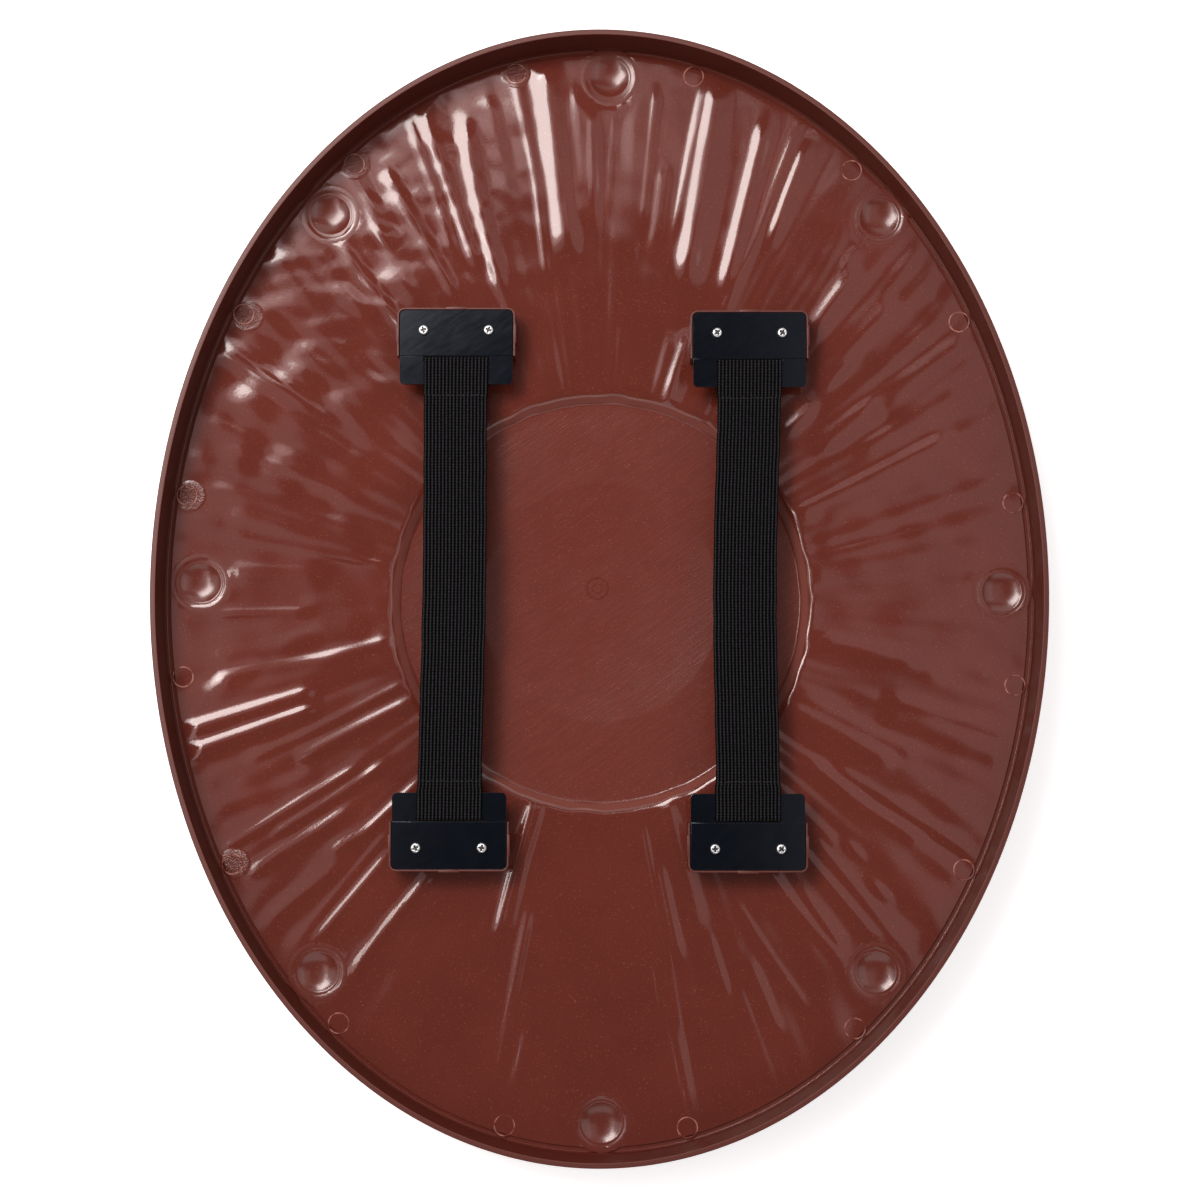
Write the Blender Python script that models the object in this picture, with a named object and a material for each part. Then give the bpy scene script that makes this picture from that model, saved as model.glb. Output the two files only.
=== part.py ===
"""An oval costume shield in brown moulded plastic, lying on its front with its back up.

The shell is one thin moulding: a round boss, a fluted dish, round studs, a border and a rim
that stands up at the back. Moulded blocks wall in the black anchor plates, each held by two
screws. Elastic straps run between the plates, folded round the bar of the plate at each end.

The frame has +Z out of the shield's back and +Y towards its top. The origin is on the floor,
under the middle of the oval. The boss sits a little off that middle, and ends in a small flat
on which the shield rests.
"""
import math
from collections import namedtuple

import bmesh
import bpy
from mathutils import Matrix, Vector

# Outline and wall of the shell
SHIELD_WIDTH = 0.480
SHIELD_LENGTH = 0.6096
WALL = 0.0025

# Boss: where its middle is, then from its resting flat out to its edge
BOSS_X = 0.0006
BOSS_Y = -0.0049
REST_FLAT_RADIUS = 0.020
DOME_RADIUS = 0.066
DOME_DEPTH = 0.003
BOSS_RADIUS = 0.1148
BOSS_FLOOR_DEPTH = 0.0015
BOSS_STEP_DEPTH = 0.0045
BOSS_STEP_RUN = 0.005

# Dish between the boss and the rim
DISH_DEPTH = 0.006
DISH_CURVE = 1.6

# Rim, and the groove that runs inside it behind the border
RIM_HEIGHT = 0.025
RIM_EDGE = 0.003
RIM_DRAFT = 0.0005
RIM_CORNER = 0.002
GROOVE_WIDTH = 0.0029
GROOVE_DEPTH = 0.0012

# Flutes of the dish: each runs from one angle at the boss to another at the rim, between two
# shares of the way across. Angles are in degrees about the boss, anticlockwise from +X as seen
# from the back.
FLUTE_RISE = 0.0008
FLUTE_HALF_WIDTH = 3.0
FLUTE_FADE = 0.12
Flute = namedtuple("Flute", "inner outer start end")
FLUTES = (
    Flute(9, 9, 0.10, 0.90),
    Flute(24, 26, 0.02, 0.80),
    Flute(45, 46, 0.15, 0.75),
    Flute(68, 71, 0.30, 1.00),
    Flute(76, 77, 0.02, 1.00),
    Flute(84, 84, 0.45, 1.00),
    Flute(96, 97, 0.35, 1.00),
    Flute(108, 105, 0.35, 0.90),
    Flute(124, 123, 0.45, 0.75),
    Flute(146, 146, 0.50, 1.00),
    Flute(153, 154, 0.45, 0.90),
    Flute(168, 168, 0.05, 0.85),
    Flute(184, 187, 0.10, 0.80),
    Flute(191, 192, 0.02, 0.75),
    Flute(198, 198, 0.40, 1.00),
    Flute(204, 206, 0.02, 0.70),
    Flute(216, 214, 0.25, 1.00),
    Flute(226, 224, 0.10, 0.85),
    Flute(239, 236, 0.35, 0.80),
    Flute(252, 255, 0.02, 0.50),
    Flute(258, 259, 0.30, 0.90),
    Flute(281, 280, 0.18, 0.85),
    Flute(292, 294, 0.45, 0.80),
    Flute(301, 304, 0.35, 0.80),
    Flute(311, 310, 0.35, 0.90),
    Flute(323, 325, 0.20, 1.00),
    Flute(334, 332, 0.02, 0.60),
    Flute(341, 341, 0.40, 1.00),
    Flute(350, 348, 0.02, 0.65),
)

# Studs: domes on the front and bowls at the back, each at an angle of the oval and an inset
Stud = namedtuple("Stud", "angle inset")
STUDS = (
    Stud(0.0, 0.0204),
    Stud(45.7, 0.0169),
    Stud(88.5, 0.0184),
    Stud(133.2, 0.0205),
    Stud(179.0, 0.0222),
    Stud(225.7, 0.0201),
    Stud(270.3, 0.0194),
    Stud(313.9, 0.0222),
)
STUD_BOWL_RADIUS = 0.0109
STUD_BOWL_DEPTH = 0.0030
STUD_RING_RADIUS = 0.0129
STUD_RING_DEPTH = 0.0006

# Moulded blocks under the anchor plates, with a thin wall round each plate
BLOCK_RISE = 0.0150
BLOCK_WALL = 0.0010
BLOCK_WALL_DROP = 0.0004
BLOCK_SEAT_WALL = 0.0035
BLOCK_SCREW_WEB = 0.0080
BLOCK_POCKET_DEPTH = 0.0110
BLOCK_BORE_DEPTH = 0.0100
TAB_LENGTH = 0.0112
TAB_THICKNESS = 0.0005
TAB_DEPTH = 0.0060

# Anchor plates: a screwed part, then a step down to a lip with the slot for the strap
PLATE_WIDTH = 0.0614
PLATE_SEAT_DEPTH = 0.0250
PLATE_LIP_DEPTH = 0.0156
PLATE_THICKNESS = 0.0032
PLATE_LIP_THICKNESS = 0.0022
PLATE_CORNER = 0.0026

# Where each plate lies: the middle of its width and its step line, from the shield's middle
UPPER_LEFT_X = -0.0780
UPPER_LEFT_STEP_Y = 0.1280
UPPER_RIGHT_X = 0.0817
UPPER_RIGHT_STEP_Y = 0.1265
LOWER_LEFT_X = -0.0807
LOWER_LEFT_STEP_Y = -0.1244
LOWER_RIGHT_X = 0.0796
LOWER_RIGHT_STEP_Y = -0.1250

# Inward is the way along Y from a plate's step line to the middle of the shield
Anchor = namedtuple("Anchor", "name x step_y inward")
ANCHORS = (
    Anchor("upper_left", UPPER_LEFT_X, UPPER_LEFT_STEP_Y, -1),
    Anchor("upper_right", UPPER_RIGHT_X, UPPER_RIGHT_STEP_Y, -1),
    Anchor("lower_left", LOWER_LEFT_X, LOWER_LEFT_STEP_Y, 1),
    Anchor("lower_right", LOWER_RIGHT_X, LOWER_RIGHT_STEP_Y, 1),
)

# Pan-head screws
SCREW_PITCH = 0.0354
SCREW_FROM_STEP = 0.0138
SCREW_HEAD_RADIUS = 0.0028
SCREW_HEAD_HEIGHT = 0.0019
SCREW_SHANK_RADIUS = 0.0014
SCREW_LENGTH = 0.0100

# Elastic straps: how wide and thick, how far the folded end reaches past the lip, and how far
# each bows sideways at its middle
STRAP_WIDTH = 0.0345
STRAP_THICKNESS = 0.0016
STRAP_TAIL = 0.0130
LEFT_STRAP_BOW = 0.0010
RIGHT_STRAP_BOW = -0.0022
Strap = namedtuple("Strap", "name upper lower bow")
STRAPS = (
    Strap("left", "upper_left", "lower_left", LEFT_STRAP_BOW),
    Strap("right", "upper_right", "lower_right", RIGHT_STRAP_BOW),
)

# Clearances
PIECE_GAP = 0.0003
PLATE_SIDE_CLEARANCE = 0.0004
SLOT_SIDE_CLEARANCE = 0.0006
SCREW_CLEARANCE = 0.0004

# Fineness of the faceted solids
SHELL_STEPS = 104
STUD_STEPS = 14
STUD_RINGS = 3
SCREW_STEPS = 10
CORNER_STEPS = 3
BEND_STEPS = 3
STRAP_RUN_STEPS = 8

# Levels, from the floor up
BOSS_EDGE_Z = WALL + DOME_DEPTH + BOSS_FLOOR_DEPTH + BOSS_STEP_DEPTH
DISH_EDGE_Z = BOSS_EDGE_Z + DISH_DEPTH
RIM_TOP_Z = DISH_EDGE_Z + RIM_HEIGHT
BLOCK_TOP_Z = BOSS_EDGE_Z + BLOCK_RISE
PLATE_UNDER_Z = BLOCK_TOP_Z + PIECE_GAP
PLATE_TOP_Z = PLATE_UNDER_Z + PLATE_THICKNESS
LIP_TOP_Z = PLATE_UNDER_Z + PLATE_LIP_THICKNESS
BLOCK_WALL_TOP_Z = PLATE_TOP_Z - BLOCK_WALL_DROP

# Places that follow from the sizes above
HALF_WIDTH = SHIELD_WIDTH / 2
HALF_LENGTH = SHIELD_LENGTH / 2
WALL_BASE_INSET = RIM_EDGE + RIM_DRAFT
DISH_INSET = WALL_BASE_INSET + GROOVE_WIDTH
SLOT_DEPTH = STRAP_THICKNESS + 2 * PIECE_GAP
LIP_BAR_START = PIECE_GAP + SLOT_DEPTH


def material(name, colour, roughness, metallic=0.0):
    """A plain Principled material."""
    made = bpy.data.materials.new(name)
    made.use_nodes = True
    shader = made.node_tree.nodes["Principled BSDF"]
    shader.inputs["Base Color"].default_value = (*colour, 1.0)
    shader.inputs["Roughness"].default_value = roughness
    shader.inputs["Metallic"].default_value = metallic
    made.diffuse_color = (*colour, 1.0)
    return made


def finish_mesh(name, built):
    """Turns a bmesh into a mesh whose faces point outwards."""
    bmesh.ops.remove_doubles(built, verts=built.verts, dist=1e-6)
    bmesh.ops.recalc_face_normals(built, faces=built.faces)
    mesh = bpy.data.meshes.new(name)
    built.to_mesh(mesh)
    built.free()
    return mesh


def add_object(name, mesh, finish=None, collection=None):
    """Puts a mesh in the scene, or in a collection of hidden tools where one is given."""
    made = bpy.data.objects.new(name, mesh)
    (collection or bpy.context.scene.collection).objects.link(made)
    if finish is not None:
        mesh.materials.append(finish)
    if collection is not None:
        made.hide_render = True
        made.display_type = "WIRE"
    return made


def tool_collection(name):
    """A collection of solids that only shape the shell."""
    made = bpy.data.collections.new(name)
    bpy.context.scene.collection.children.link(made)
    return made


def rim_radius(angle, inset):
    """Distance from the middle of the boss to the oval, drawn in by an inset."""
    half_width = HALF_WIDTH - inset
    half_length = HALF_LENGTH - inset
    east = math.cos(angle) / half_width
    north = math.sin(angle) / half_length
    start_x = BOSS_X / half_width
    start_y = BOSS_Y / half_length
    square = east**2 + north**2
    lean = start_x * east + start_y * north
    outside = start_x**2 + start_y**2 - 1
    return (math.sqrt(lean**2 - square * outside) - lean) / square


def spoke_angle(turn):
    """Angle about the boss of the spoke that meets the oval at a turn of it."""
    return math.atan2(
        HALF_LENGTH * math.sin(turn) - BOSS_Y, HALF_WIDTH * math.cos(turn) - BOSS_X,
    )


def across(angle, radius):
    """Share of the way from the boss edge to the edge of the dish."""
    edge = rim_radius(angle, DISH_INSET)
    return (radius - BOSS_RADIUS) / (edge - BOSS_RADIUS)


def about_boss(x, y):
    """Angle and distance of a place from the middle of the boss."""
    return math.atan2(y - BOSS_Y, x - BOSS_X), math.hypot(x - BOSS_X, y - BOSS_Y)


def stretched_radius(angle, section_radius):
    """Radius at an angle for a radius of the section, which is drawn along the short axis."""
    inset = HALF_WIDTH - section_radius
    if section_radius <= BOSS_RADIUS:
        return section_radius
    if inset <= DISH_INSET:
        return rim_radius(angle, inset)
    share = (section_radius - BOSS_RADIUS) / (HALF_WIDTH - DISH_INSET - BOSS_RADIUS)
    return BOSS_RADIUS + share * (rim_radius(angle, DISH_INSET) - BOSS_RADIUS)


def dish_z(share):
    """Height of the dish's back, without flutes, at a share of the way across."""
    return BOSS_EDGE_Z + DISH_DEPTH * max(share, 0.0) ** DISH_CURVE


def ease(share):
    """Smooth step from 0 to 1."""
    held = min(max(share, 0.0), 1.0)
    return held * held * (3 - 2 * held)


def flute_height(angle, share):
    """Height of the flutes at an angle and a share of the way across the dish."""
    degrees = math.degrees(angle)
    total = 0.0
    for flute in FLUTES:
        if not flute.start < share < flute.end:
            continue
        crest = flute.inner + (flute.outer - flute.inner) * share
        off_crest = abs((degrees - crest + 180) % 360 - 180) / FLUTE_HALF_WIDTH
        if off_crest >= 1:
            continue
        ends = ease((share - flute.start) / FLUTE_FADE) * ease((flute.end - share) / FLUTE_FADE)
        total += FLUTE_RISE * ends * math.cos(off_crest * math.pi / 2) ** 2
    return total


def dome_z(radius):
    """Height of the front of the boss dome, flat where it rests."""
    rise = (radius**2 - REST_FLAT_RADIUS**2) / (DOME_RADIUS**2 - REST_FLAT_RADIUS**2)
    return DOME_DEPTH * max(rise, 0.0)


def shell_section():
    """The closed half section, from the middle of the back round the rim to the front."""
    dish_shares = (0.0, 0.12, 0.40, 0.70, 1.0)
    dish_run = HALF_WIDTH - DISH_INSET - BOSS_RADIUS
    dish = [(BOSS_RADIUS + share * dish_run, dish_z(share)) for share in dish_shares]
    dome = [(radius, dome_z(radius)) for radius in (0.0, REST_FLAT_RADIUS, DOME_RADIUS)]
    floor_z = DOME_DEPTH + BOSS_FLOOR_DEPTH
    floor_edge = BOSS_RADIUS - BOSS_STEP_RUN
    groove_z = DISH_EDGE_Z - GROOVE_DEPTH
    back = [(radius, z + WALL) for radius, z in dome]
    back.append((floor_edge, floor_z + WALL))
    back += dish
    back.append((HALF_WIDTH - DISH_INSET, groove_z))
    back.append((HALF_WIDTH - WALL_BASE_INSET, groove_z))
    rim = [(HALF_WIDTH - RIM_EDGE, RIM_TOP_Z), (HALF_WIDTH, RIM_TOP_Z)]
    rim.append((HALF_WIDTH, groove_z - WALL + RIM_CORNER))
    rim.append((HALF_WIDTH - RIM_CORNER, groove_z - WALL))
    border_inner = HALF_WIDTH - DISH_INSET - WALL
    front = [(border_inner, groove_z - WALL), (border_inner, DISH_EDGE_Z - WALL)]
    front += [(radius, z - WALL) for radius, z in reversed(dish[2:-1])]
    front.append((BOSS_RADIUS + WALL / 2, BOSS_EDGE_Z - WALL))
    front.append((floor_edge + WALL / 2, floor_z))
    front += reversed(dome)
    return back + rim + front


def shell_mesh():
    """Spins the section, stretches it to the oval and raises the flutes on both faces."""
    built = bmesh.new()
    verts = [built.verts.new((radius, 0, z)) for radius, z in shell_section()]
    edges = [built.edges.new(pair) for pair in zip(verts, verts[1:])]
    bmesh.ops.spin(
        built, geom=verts + edges, cent=(0, 0, 0), axis=(0, 0, 1),
        angle=math.tau, steps=SHELL_STEPS, use_merge=True,
    )
    bmesh.ops.remove_doubles(built, verts=built.verts, dist=1e-6)
    for vert in built.verts:
        radius = math.hypot(vert.co.x, vert.co.y)
        angle = spoke_angle(math.atan2(vert.co.y, vert.co.x))
        reach = stretched_radius(angle, radius)
        inset = HALF_WIDTH - radius
        if radius > BOSS_RADIUS and inset > DISH_INSET + WALL / 2:
            vert.co.z += flute_height(angle, across(angle, reach))
        vert.co.x = BOSS_X + reach * math.cos(angle)
        vert.co.y = BOSS_Y + reach * math.sin(angle)
    return finish_mesh("shield_shell", built)


def stud_frames():
    """Places the studs on the dish, each square to it."""
    frames = []
    for stud in STUDS:
        turn = math.radians(stud.angle)
        foot = Vector((HALF_WIDTH * math.cos(turn), HALF_LENGTH * math.sin(turn)))
        outward = Vector((HALF_LENGTH * math.cos(turn), HALF_WIDTH * math.sin(turn)))
        x, y = foot - outward.normalized() * stud.inset
        angle, radius = about_boss(x, y)
        step = WALL
        here = dish_z(across(angle, radius))
        slope = (dish_z(across(angle, radius + step)) - here) / step
        tilt = Matrix.Rotation(angle, 4, "Z") @ Matrix.Rotation(-math.atan(slope), 4, "Y")
        frames.append(Matrix.Translation((x, y, here)) @ tilt)
    return frames


def turned_mesh(name, profile, steps):
    """A solid turned about Z from a profile whose two ends are on the axis."""
    built = bmesh.new()
    verts = [built.verts.new((radius, 0, z)) for radius, z in profile]
    edges = [built.edges.new(pair) for pair in zip(verts, verts[1:])]
    bmesh.ops.spin(
        built, geom=verts + edges, cent=(0, 0, 0), axis=(0, 0, 1),
        angle=math.tau, steps=steps, use_merge=True,
    )
    return finish_mesh(name, built)


def cap_points(cap_radius, depth, offset):
    """Points down a round bowl from its edge to its middle, offset outwards by a wall."""
    sphere = (cap_radius**2 + depth**2) / (2 * depth)
    centre_z = sphere - depth
    widest = math.acos(centre_z / (sphere + offset)) if offset else math.asin(cap_radius / sphere)
    angles = [widest * (1 - step / STUD_RINGS) for step in range(STUD_RINGS + 1)]
    reach = sphere + offset
    return [(reach * math.sin(a), centre_z - reach * math.cos(a)) for a in angles]


def stud_tools(raised, hollow):
    """The dome on the front and the bowl with its ring at the back, for every stud."""
    dome = cap_points(STUD_BOWL_RADIUS, STUD_BOWL_DEPTH, WALL)
    mid_wall = -WALL / 2
    dome = [(0, mid_wall)] + [(radius, z + mid_wall) for radius, z in dome]
    bowl = cap_points(STUD_BOWL_RADIUS, STUD_BOWL_DEPTH, 0)
    above = WALL
    ring = [(0, above), (STUD_RING_RADIUS, above), (STUD_RING_RADIUS, -STUD_RING_DEPTH)]
    bowl = ring + [(radius, z - STUD_RING_DEPTH) for radius, z in bowl]
    dome_mesh = turned_mesh("stud_dome", dome, STUD_STEPS)
    bowl_mesh = turned_mesh("stud_bowl", bowl, STUD_STEPS)
    for index, frame in enumerate(stud_frames()):
        add_object(f"stud_dome_{index}", dome_mesh, collection=raised).matrix_world = frame
        add_object(f"stud_bowl_{index}", bowl_mesh, collection=hollow).matrix_world = frame


def rounded_outline(x_low, x_high, y_low, y_high, corner):
    """A rectangle with round corners, anticlockwise."""
    centres = (
        (x_high - corner, y_high - corner),
        (x_low + corner, y_high - corner),
        (x_low + corner, y_low + corner),
        (x_high - corner, y_low + corner),
    )
    points = []
    for quarter, (x, y) in enumerate(centres):
        for step in range(CORNER_STEPS + 1):
            turn = (quarter + step / CORNER_STEPS) * math.pi / 2
            points.append((x + corner * math.cos(turn), y + corner * math.sin(turn)))
    return points


def prism(name, outline, low, high):
    """A solid over an outline; low may be a height or a function of x and y."""
    built = bmesh.new()
    under = low if callable(low) else lambda x, y: low
    lower = [built.verts.new((x, y, under(x, y))) for x, y in outline]
    upper = [built.verts.new((x, y, high)) for x, y in outline]
    built.faces.new(lower)
    built.faces.new(upper)
    count = len(outline)
    for index in range(count):
        after = (index + 1) % count
        built.faces.new((lower[index], lower[after], upper[after], upper[index]))
    bmesh.ops.triangulate(built, faces=[face for face in built.faces if len(face.verts) > 4])
    return finish_mesh(name, built)


def box(name, x_low, x_high, y_low, y_high, z_low, z_high):
    """A box between its two corners."""
    outline = [(x_low, y_low), (x_high, y_low), (x_high, y_high), (x_low, y_high)]
    return prism(name, outline, z_low, z_high)


def along(anchor, distance):
    """The Y of a distance inward from an anchor's step line."""
    return anchor.step_y + anchor.inward * distance


def mid_wall_z(x, y):
    """Height of the middle of the dish's wall."""
    return dish_z(across(*about_boss(x, y))) - WALL / 2


def block_tools(anchor, raised, hollow):
    """One moulded block with its tabs, the recess for its plate, its pockets and screw bores."""
    recess_side = PLATE_WIDTH / 2 + PLATE_SIDE_CLEARANCE
    side = recess_side + BLOCK_WALL
    recess_end = -PLATE_SEAT_DEPTH - PLATE_SIDE_CLEARANCE
    outer = along(anchor, recess_end - BLOCK_WALL)
    low, high = sorted((outer, anchor.step_y))
    corner = PLATE_CORNER + PLATE_SIDE_CLEARANCE + BLOCK_WALL
    outline = rounded_outline(anchor.x - side, anchor.x + side, low, high, corner)
    block = prism(f"block_{anchor.name}", outline, mid_wall_z, BLOCK_WALL_TOP_Z)
    add_object(f"block_{anchor.name}", block, collection=raised)

    half_tab = TAB_LENGTH / 2
    tab_side = side + TAB_THICKNESS
    end_low, end_high = sorted((outer, along(anchor, recess_end - BLOCK_WALL - TAB_THICKNESS)))
    seat_middle = along(anchor, -PLATE_SEAT_DEPTH / 2)
    inner_face = BLOCK_WALL / 2
    tabs = (
        (anchor.x - half_tab, anchor.x + half_tab, end_low - inner_face, end_high + inner_face),
        (anchor.x - tab_side, anchor.x - side + inner_face, seat_middle - half_tab,
         seat_middle + half_tab),
        (anchor.x + side - inner_face, anchor.x + tab_side, seat_middle - half_tab,
         seat_middle + half_tab),
    )
    for index, spans in enumerate(tabs):
        name = f"tab_{anchor.name}_{index}"
        tab = box(name, *spans, BLOCK_WALL_TOP_Z - TAB_DEPTH, BLOCK_WALL_TOP_Z)
        add_object(name, tab, collection=raised)

    above = BLOCK_WALL_TOP_Z + BLOCK_RISE
    recess_low, recess_high = sorted((along(anchor, recess_end), along(anchor, PLATE_LIP_DEPTH)))
    recess = rounded_outline(
        anchor.x - recess_side, anchor.x + recess_side, recess_low, recess_high,
        PLATE_CORNER + PLATE_SIDE_CLEARANCE,
    )
    name = f"recess_{anchor.name}"
    add_object(name, prism(name, recess, BLOCK_TOP_Z, above), collection=hollow)

    pocket_low = BLOCK_TOP_Z - BLOCK_POCKET_DEPTH
    pocket_high = BLOCK_TOP_Z + PIECE_GAP
    web = BLOCK_SCREW_WEB / 2
    screw_x = SCREW_PITCH / 2
    inside = side - BLOCK_SEAT_WALL
    spans = ((-inside, -screw_x - web), (-screw_x + web, screw_x - web), (screw_x + web, inside))
    for index, (start, end) in enumerate(spans):
        name = f"pocket_{anchor.name}_{index}"
        pocket = box(
            name, anchor.x + start, anchor.x + end,
            low + BLOCK_SEAT_WALL, high - BLOCK_SEAT_WALL, pocket_low, pocket_high,
        )
        add_object(name, pocket, collection=hollow)
    for name, x, y in screw_spots(anchor):
        bore_radius = SCREW_SHANK_RADIUS + SCREW_CLEARANCE
        profile = (
            (0, BLOCK_TOP_Z - BLOCK_BORE_DEPTH), (bore_radius, BLOCK_TOP_Z - BLOCK_BORE_DEPTH),
            (bore_radius, above), (0, above),
        )
        bore = add_object(f"bore_{name}", turned_mesh("bore", profile, SCREW_STEPS),
                          collection=hollow)
        bore.location = (x, y, 0)


def screw_spots(anchor):
    """Name and place of the two screws of an anchor plate."""
    y = along(anchor, -SCREW_FROM_STEP)
    return [
        (f"{anchor.name}_west", anchor.x - SCREW_PITCH / 2, y),
        (f"{anchor.name}_east", anchor.x + SCREW_PITCH / 2, y),
    ]


def shape_with(target, operation, collection):
    """Adds an exact Boolean with every solid of a collection."""
    boolean = target.modifiers.new(operation.lower(), "BOOLEAN")
    boolean.operation = operation
    boolean.solver = "EXACT"
    boolean.operand_type = "COLLECTION"
    boolean.collection = collection


def make_shell(finish):
    """The moulded shell with its blocks and studs."""
    raised = tool_collection("raised_forms")
    hollow = tool_collection("hollow_forms")
    stud_tools(raised, hollow)
    for anchor in ANCHORS:
        block_tools(anchor, raised, hollow)
    mesh = shell_mesh()
    mesh.shade_smooth()
    mesh.set_sharp_from_angle(angle=math.radians(30))
    shell = add_object("shield_shell", mesh, finish)
    shape_with(shell, "UNION", raised)
    shape_with(shell, "DIFFERENCE", hollow)


def make_plate(anchor, finish):
    """An anchor plate: screwed part, lower lip, strap slot and two screw holes."""
    low, high = sorted((along(anchor, -PLATE_SEAT_DEPTH), along(anchor, PLATE_LIP_DEPTH)))
    half = PLATE_WIDTH / 2
    outline = rounded_outline(anchor.x - half, anchor.x + half, low, high, PLATE_CORNER)
    name = f"anchor_plate_{anchor.name}"
    plate = add_object(name, prism(name, outline, PLATE_UNDER_Z, PLATE_TOP_Z), finish)

    cuts = tool_collection(f"cuts_{anchor.name}")
    above = PLATE_TOP_Z + PLATE_THICKNESS
    beyond = PLATE_WIDTH
    lip_low, lip_high = sorted((along(anchor, 0), along(anchor, PLATE_LIP_DEPTH + beyond)))
    lip_cut = box(
        "lip_cut", anchor.x - beyond, anchor.x + beyond, lip_low, lip_high, LIP_TOP_Z, above,
    )
    add_object(f"lip_cut_{anchor.name}", lip_cut, collection=cuts)
    slot_low, slot_high = sorted((along(anchor, PIECE_GAP), along(anchor, LIP_BAR_START)))
    slot_side = STRAP_WIDTH / 2 + SLOT_SIDE_CLEARANCE
    slot = box(
        "slot", anchor.x - slot_side, anchor.x + slot_side, slot_low, slot_high,
        PLATE_UNDER_Z - PLATE_THICKNESS, above,
    )
    add_object(f"slot_{anchor.name}", slot, collection=cuts)
    hole_radius = SCREW_SHANK_RADIUS + SCREW_CLEARANCE
    below = PLATE_UNDER_Z - PLATE_THICKNESS
    profile = ((0, below), (hole_radius, below), (hole_radius, above), (0, above))
    for screw_name, x, y in screw_spots(anchor):
        hole = add_object(f"hole_{screw_name}", turned_mesh("hole", profile, SCREW_STEPS),
                          collection=cuts)
        hole.location = (x, y, 0)
    shape_with(plate, "DIFFERENCE", cuts)


def screw_mesh(finish):
    """A pan-head screw about its own axis, with the origin under its head."""
    crown = [
        (SCREW_HEAD_RADIUS * math.cos(turn), SCREW_HEAD_HEIGHT * math.sin(turn))
        for turn in (math.radians(30), math.radians(60))
    ]
    profile = [
        (0, -SCREW_LENGTH), (SCREW_SHANK_RADIUS, -SCREW_LENGTH), (SCREW_SHANK_RADIUS, 0),
        (SCREW_HEAD_RADIUS, 0), *crown, (0, SCREW_HEAD_HEIGHT),
    ]
    mesh = turned_mesh("screw", profile, SCREW_STEPS)
    mesh.shade_smooth()
    mesh.set_sharp_from_angle(angle=math.radians(40))
    mesh.materials.append(finish)
    return mesh


def make_screws(finish):
    """Two screws for each plate, which share one mesh."""
    mesh = screw_mesh(finish)
    for anchor in ANCHORS:
        for name, x, y in screw_spots(anchor):
            add_object(f"screw_{name}", mesh).location = (x, y, PLATE_TOP_Z + PIECE_GAP)


def arc(centre, radius, start, end):
    """Points of an arc, angles in degrees from the inward direction towards up."""
    points = []
    for step in range(BEND_STEPS + 1):
        turn = math.radians(start + (end - start) * step / BEND_STEPS)
        points.append((centre[0] + radius * math.cos(turn), centre[1] + radius * math.sin(turn)))
    return points


def fold_points():
    """The folded end of a strap, from its tail round the lip bar to the top of the lip.

    Each point is a distance inward from the step line and a height above the plate's underside.
    """
    reach = PIECE_GAP + STRAP_THICKNESS / 2
    run_z = PLATE_LIP_THICKNESS + reach
    tail_z = run_z - STRAP_THICKNESS - PIECE_GAP
    tail_end = PLATE_LIP_DEPTH + STRAP_TAIL
    rise_start = PLATE_LIP_DEPTH + STRAP_THICKNESS / 2
    rise_end = rise_start + 3 * STRAP_THICKNESS
    points = [(tail_end, tail_z), (rise_end, tail_z), (rise_start, -reach)]
    points += arc((LIP_BAR_START, 0), reach, 270, 180)
    points += arc((LIP_BAR_START, PLATE_LIP_THICKNESS), reach, 180, 90)
    points.append((PLATE_LIP_DEPTH + STRAP_THICKNESS, run_z))
    return points


def strap_path(strap):
    """Points down the middle of a strap, from its upper tail to its lower tail."""
    places = {anchor.name: anchor for anchor in ANCHORS}
    upper = places[strap.upper]
    lower = places[strap.lower]
    fold = fold_points()
    path = [(along(upper, inward), PLATE_UNDER_Z + z) for inward, z in fold]
    start = path[-1][0]
    end = along(lower, fold[-1][0])
    run_z = path[-1][1]
    for step in range(1, STRAP_RUN_STEPS):
        path.append((start + (end - start) * step / STRAP_RUN_STEPS, run_z))
    path += [(along(lower, inward), PLATE_UNDER_Z + z) for inward, z in reversed(fold)]
    points = []
    for y, z in path:
        share = (upper.step_y - y) / (upper.step_y - lower.step_y)
        held = min(max(share, 0.0), 1.0)
        x = upper.x + (lower.x - upper.x) * share + strap.bow * math.sin(math.pi * held) ** 2
        points.append(Vector((x, y, z)))
    return points


def make_strap(strap, finish):
    """An elastic strap: a ribbon along its path, thickened to a closed band."""
    built = bmesh.new()
    half = Vector((STRAP_WIDTH / 2, 0, 0))
    rows = []
    for point in strap_path(strap):
        rows.append((built.verts.new(point - half), built.verts.new(point + half)))
    for (west, east), (next_west, next_east) in zip(rows, rows[1:]):
        built.faces.new((west, east, next_east, next_west))
    mesh = bpy.data.meshes.new(f"strap_{strap.name}")
    built.to_mesh(mesh)
    built.free()
    band = add_object(f"strap_{strap.name}", mesh, finish)
    thicken = band.modifiers.new("thickness", "SOLIDIFY")
    thicken.thickness = STRAP_THICKNESS
    thicken.offset = 0
    thicken.use_even_offset = True


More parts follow.
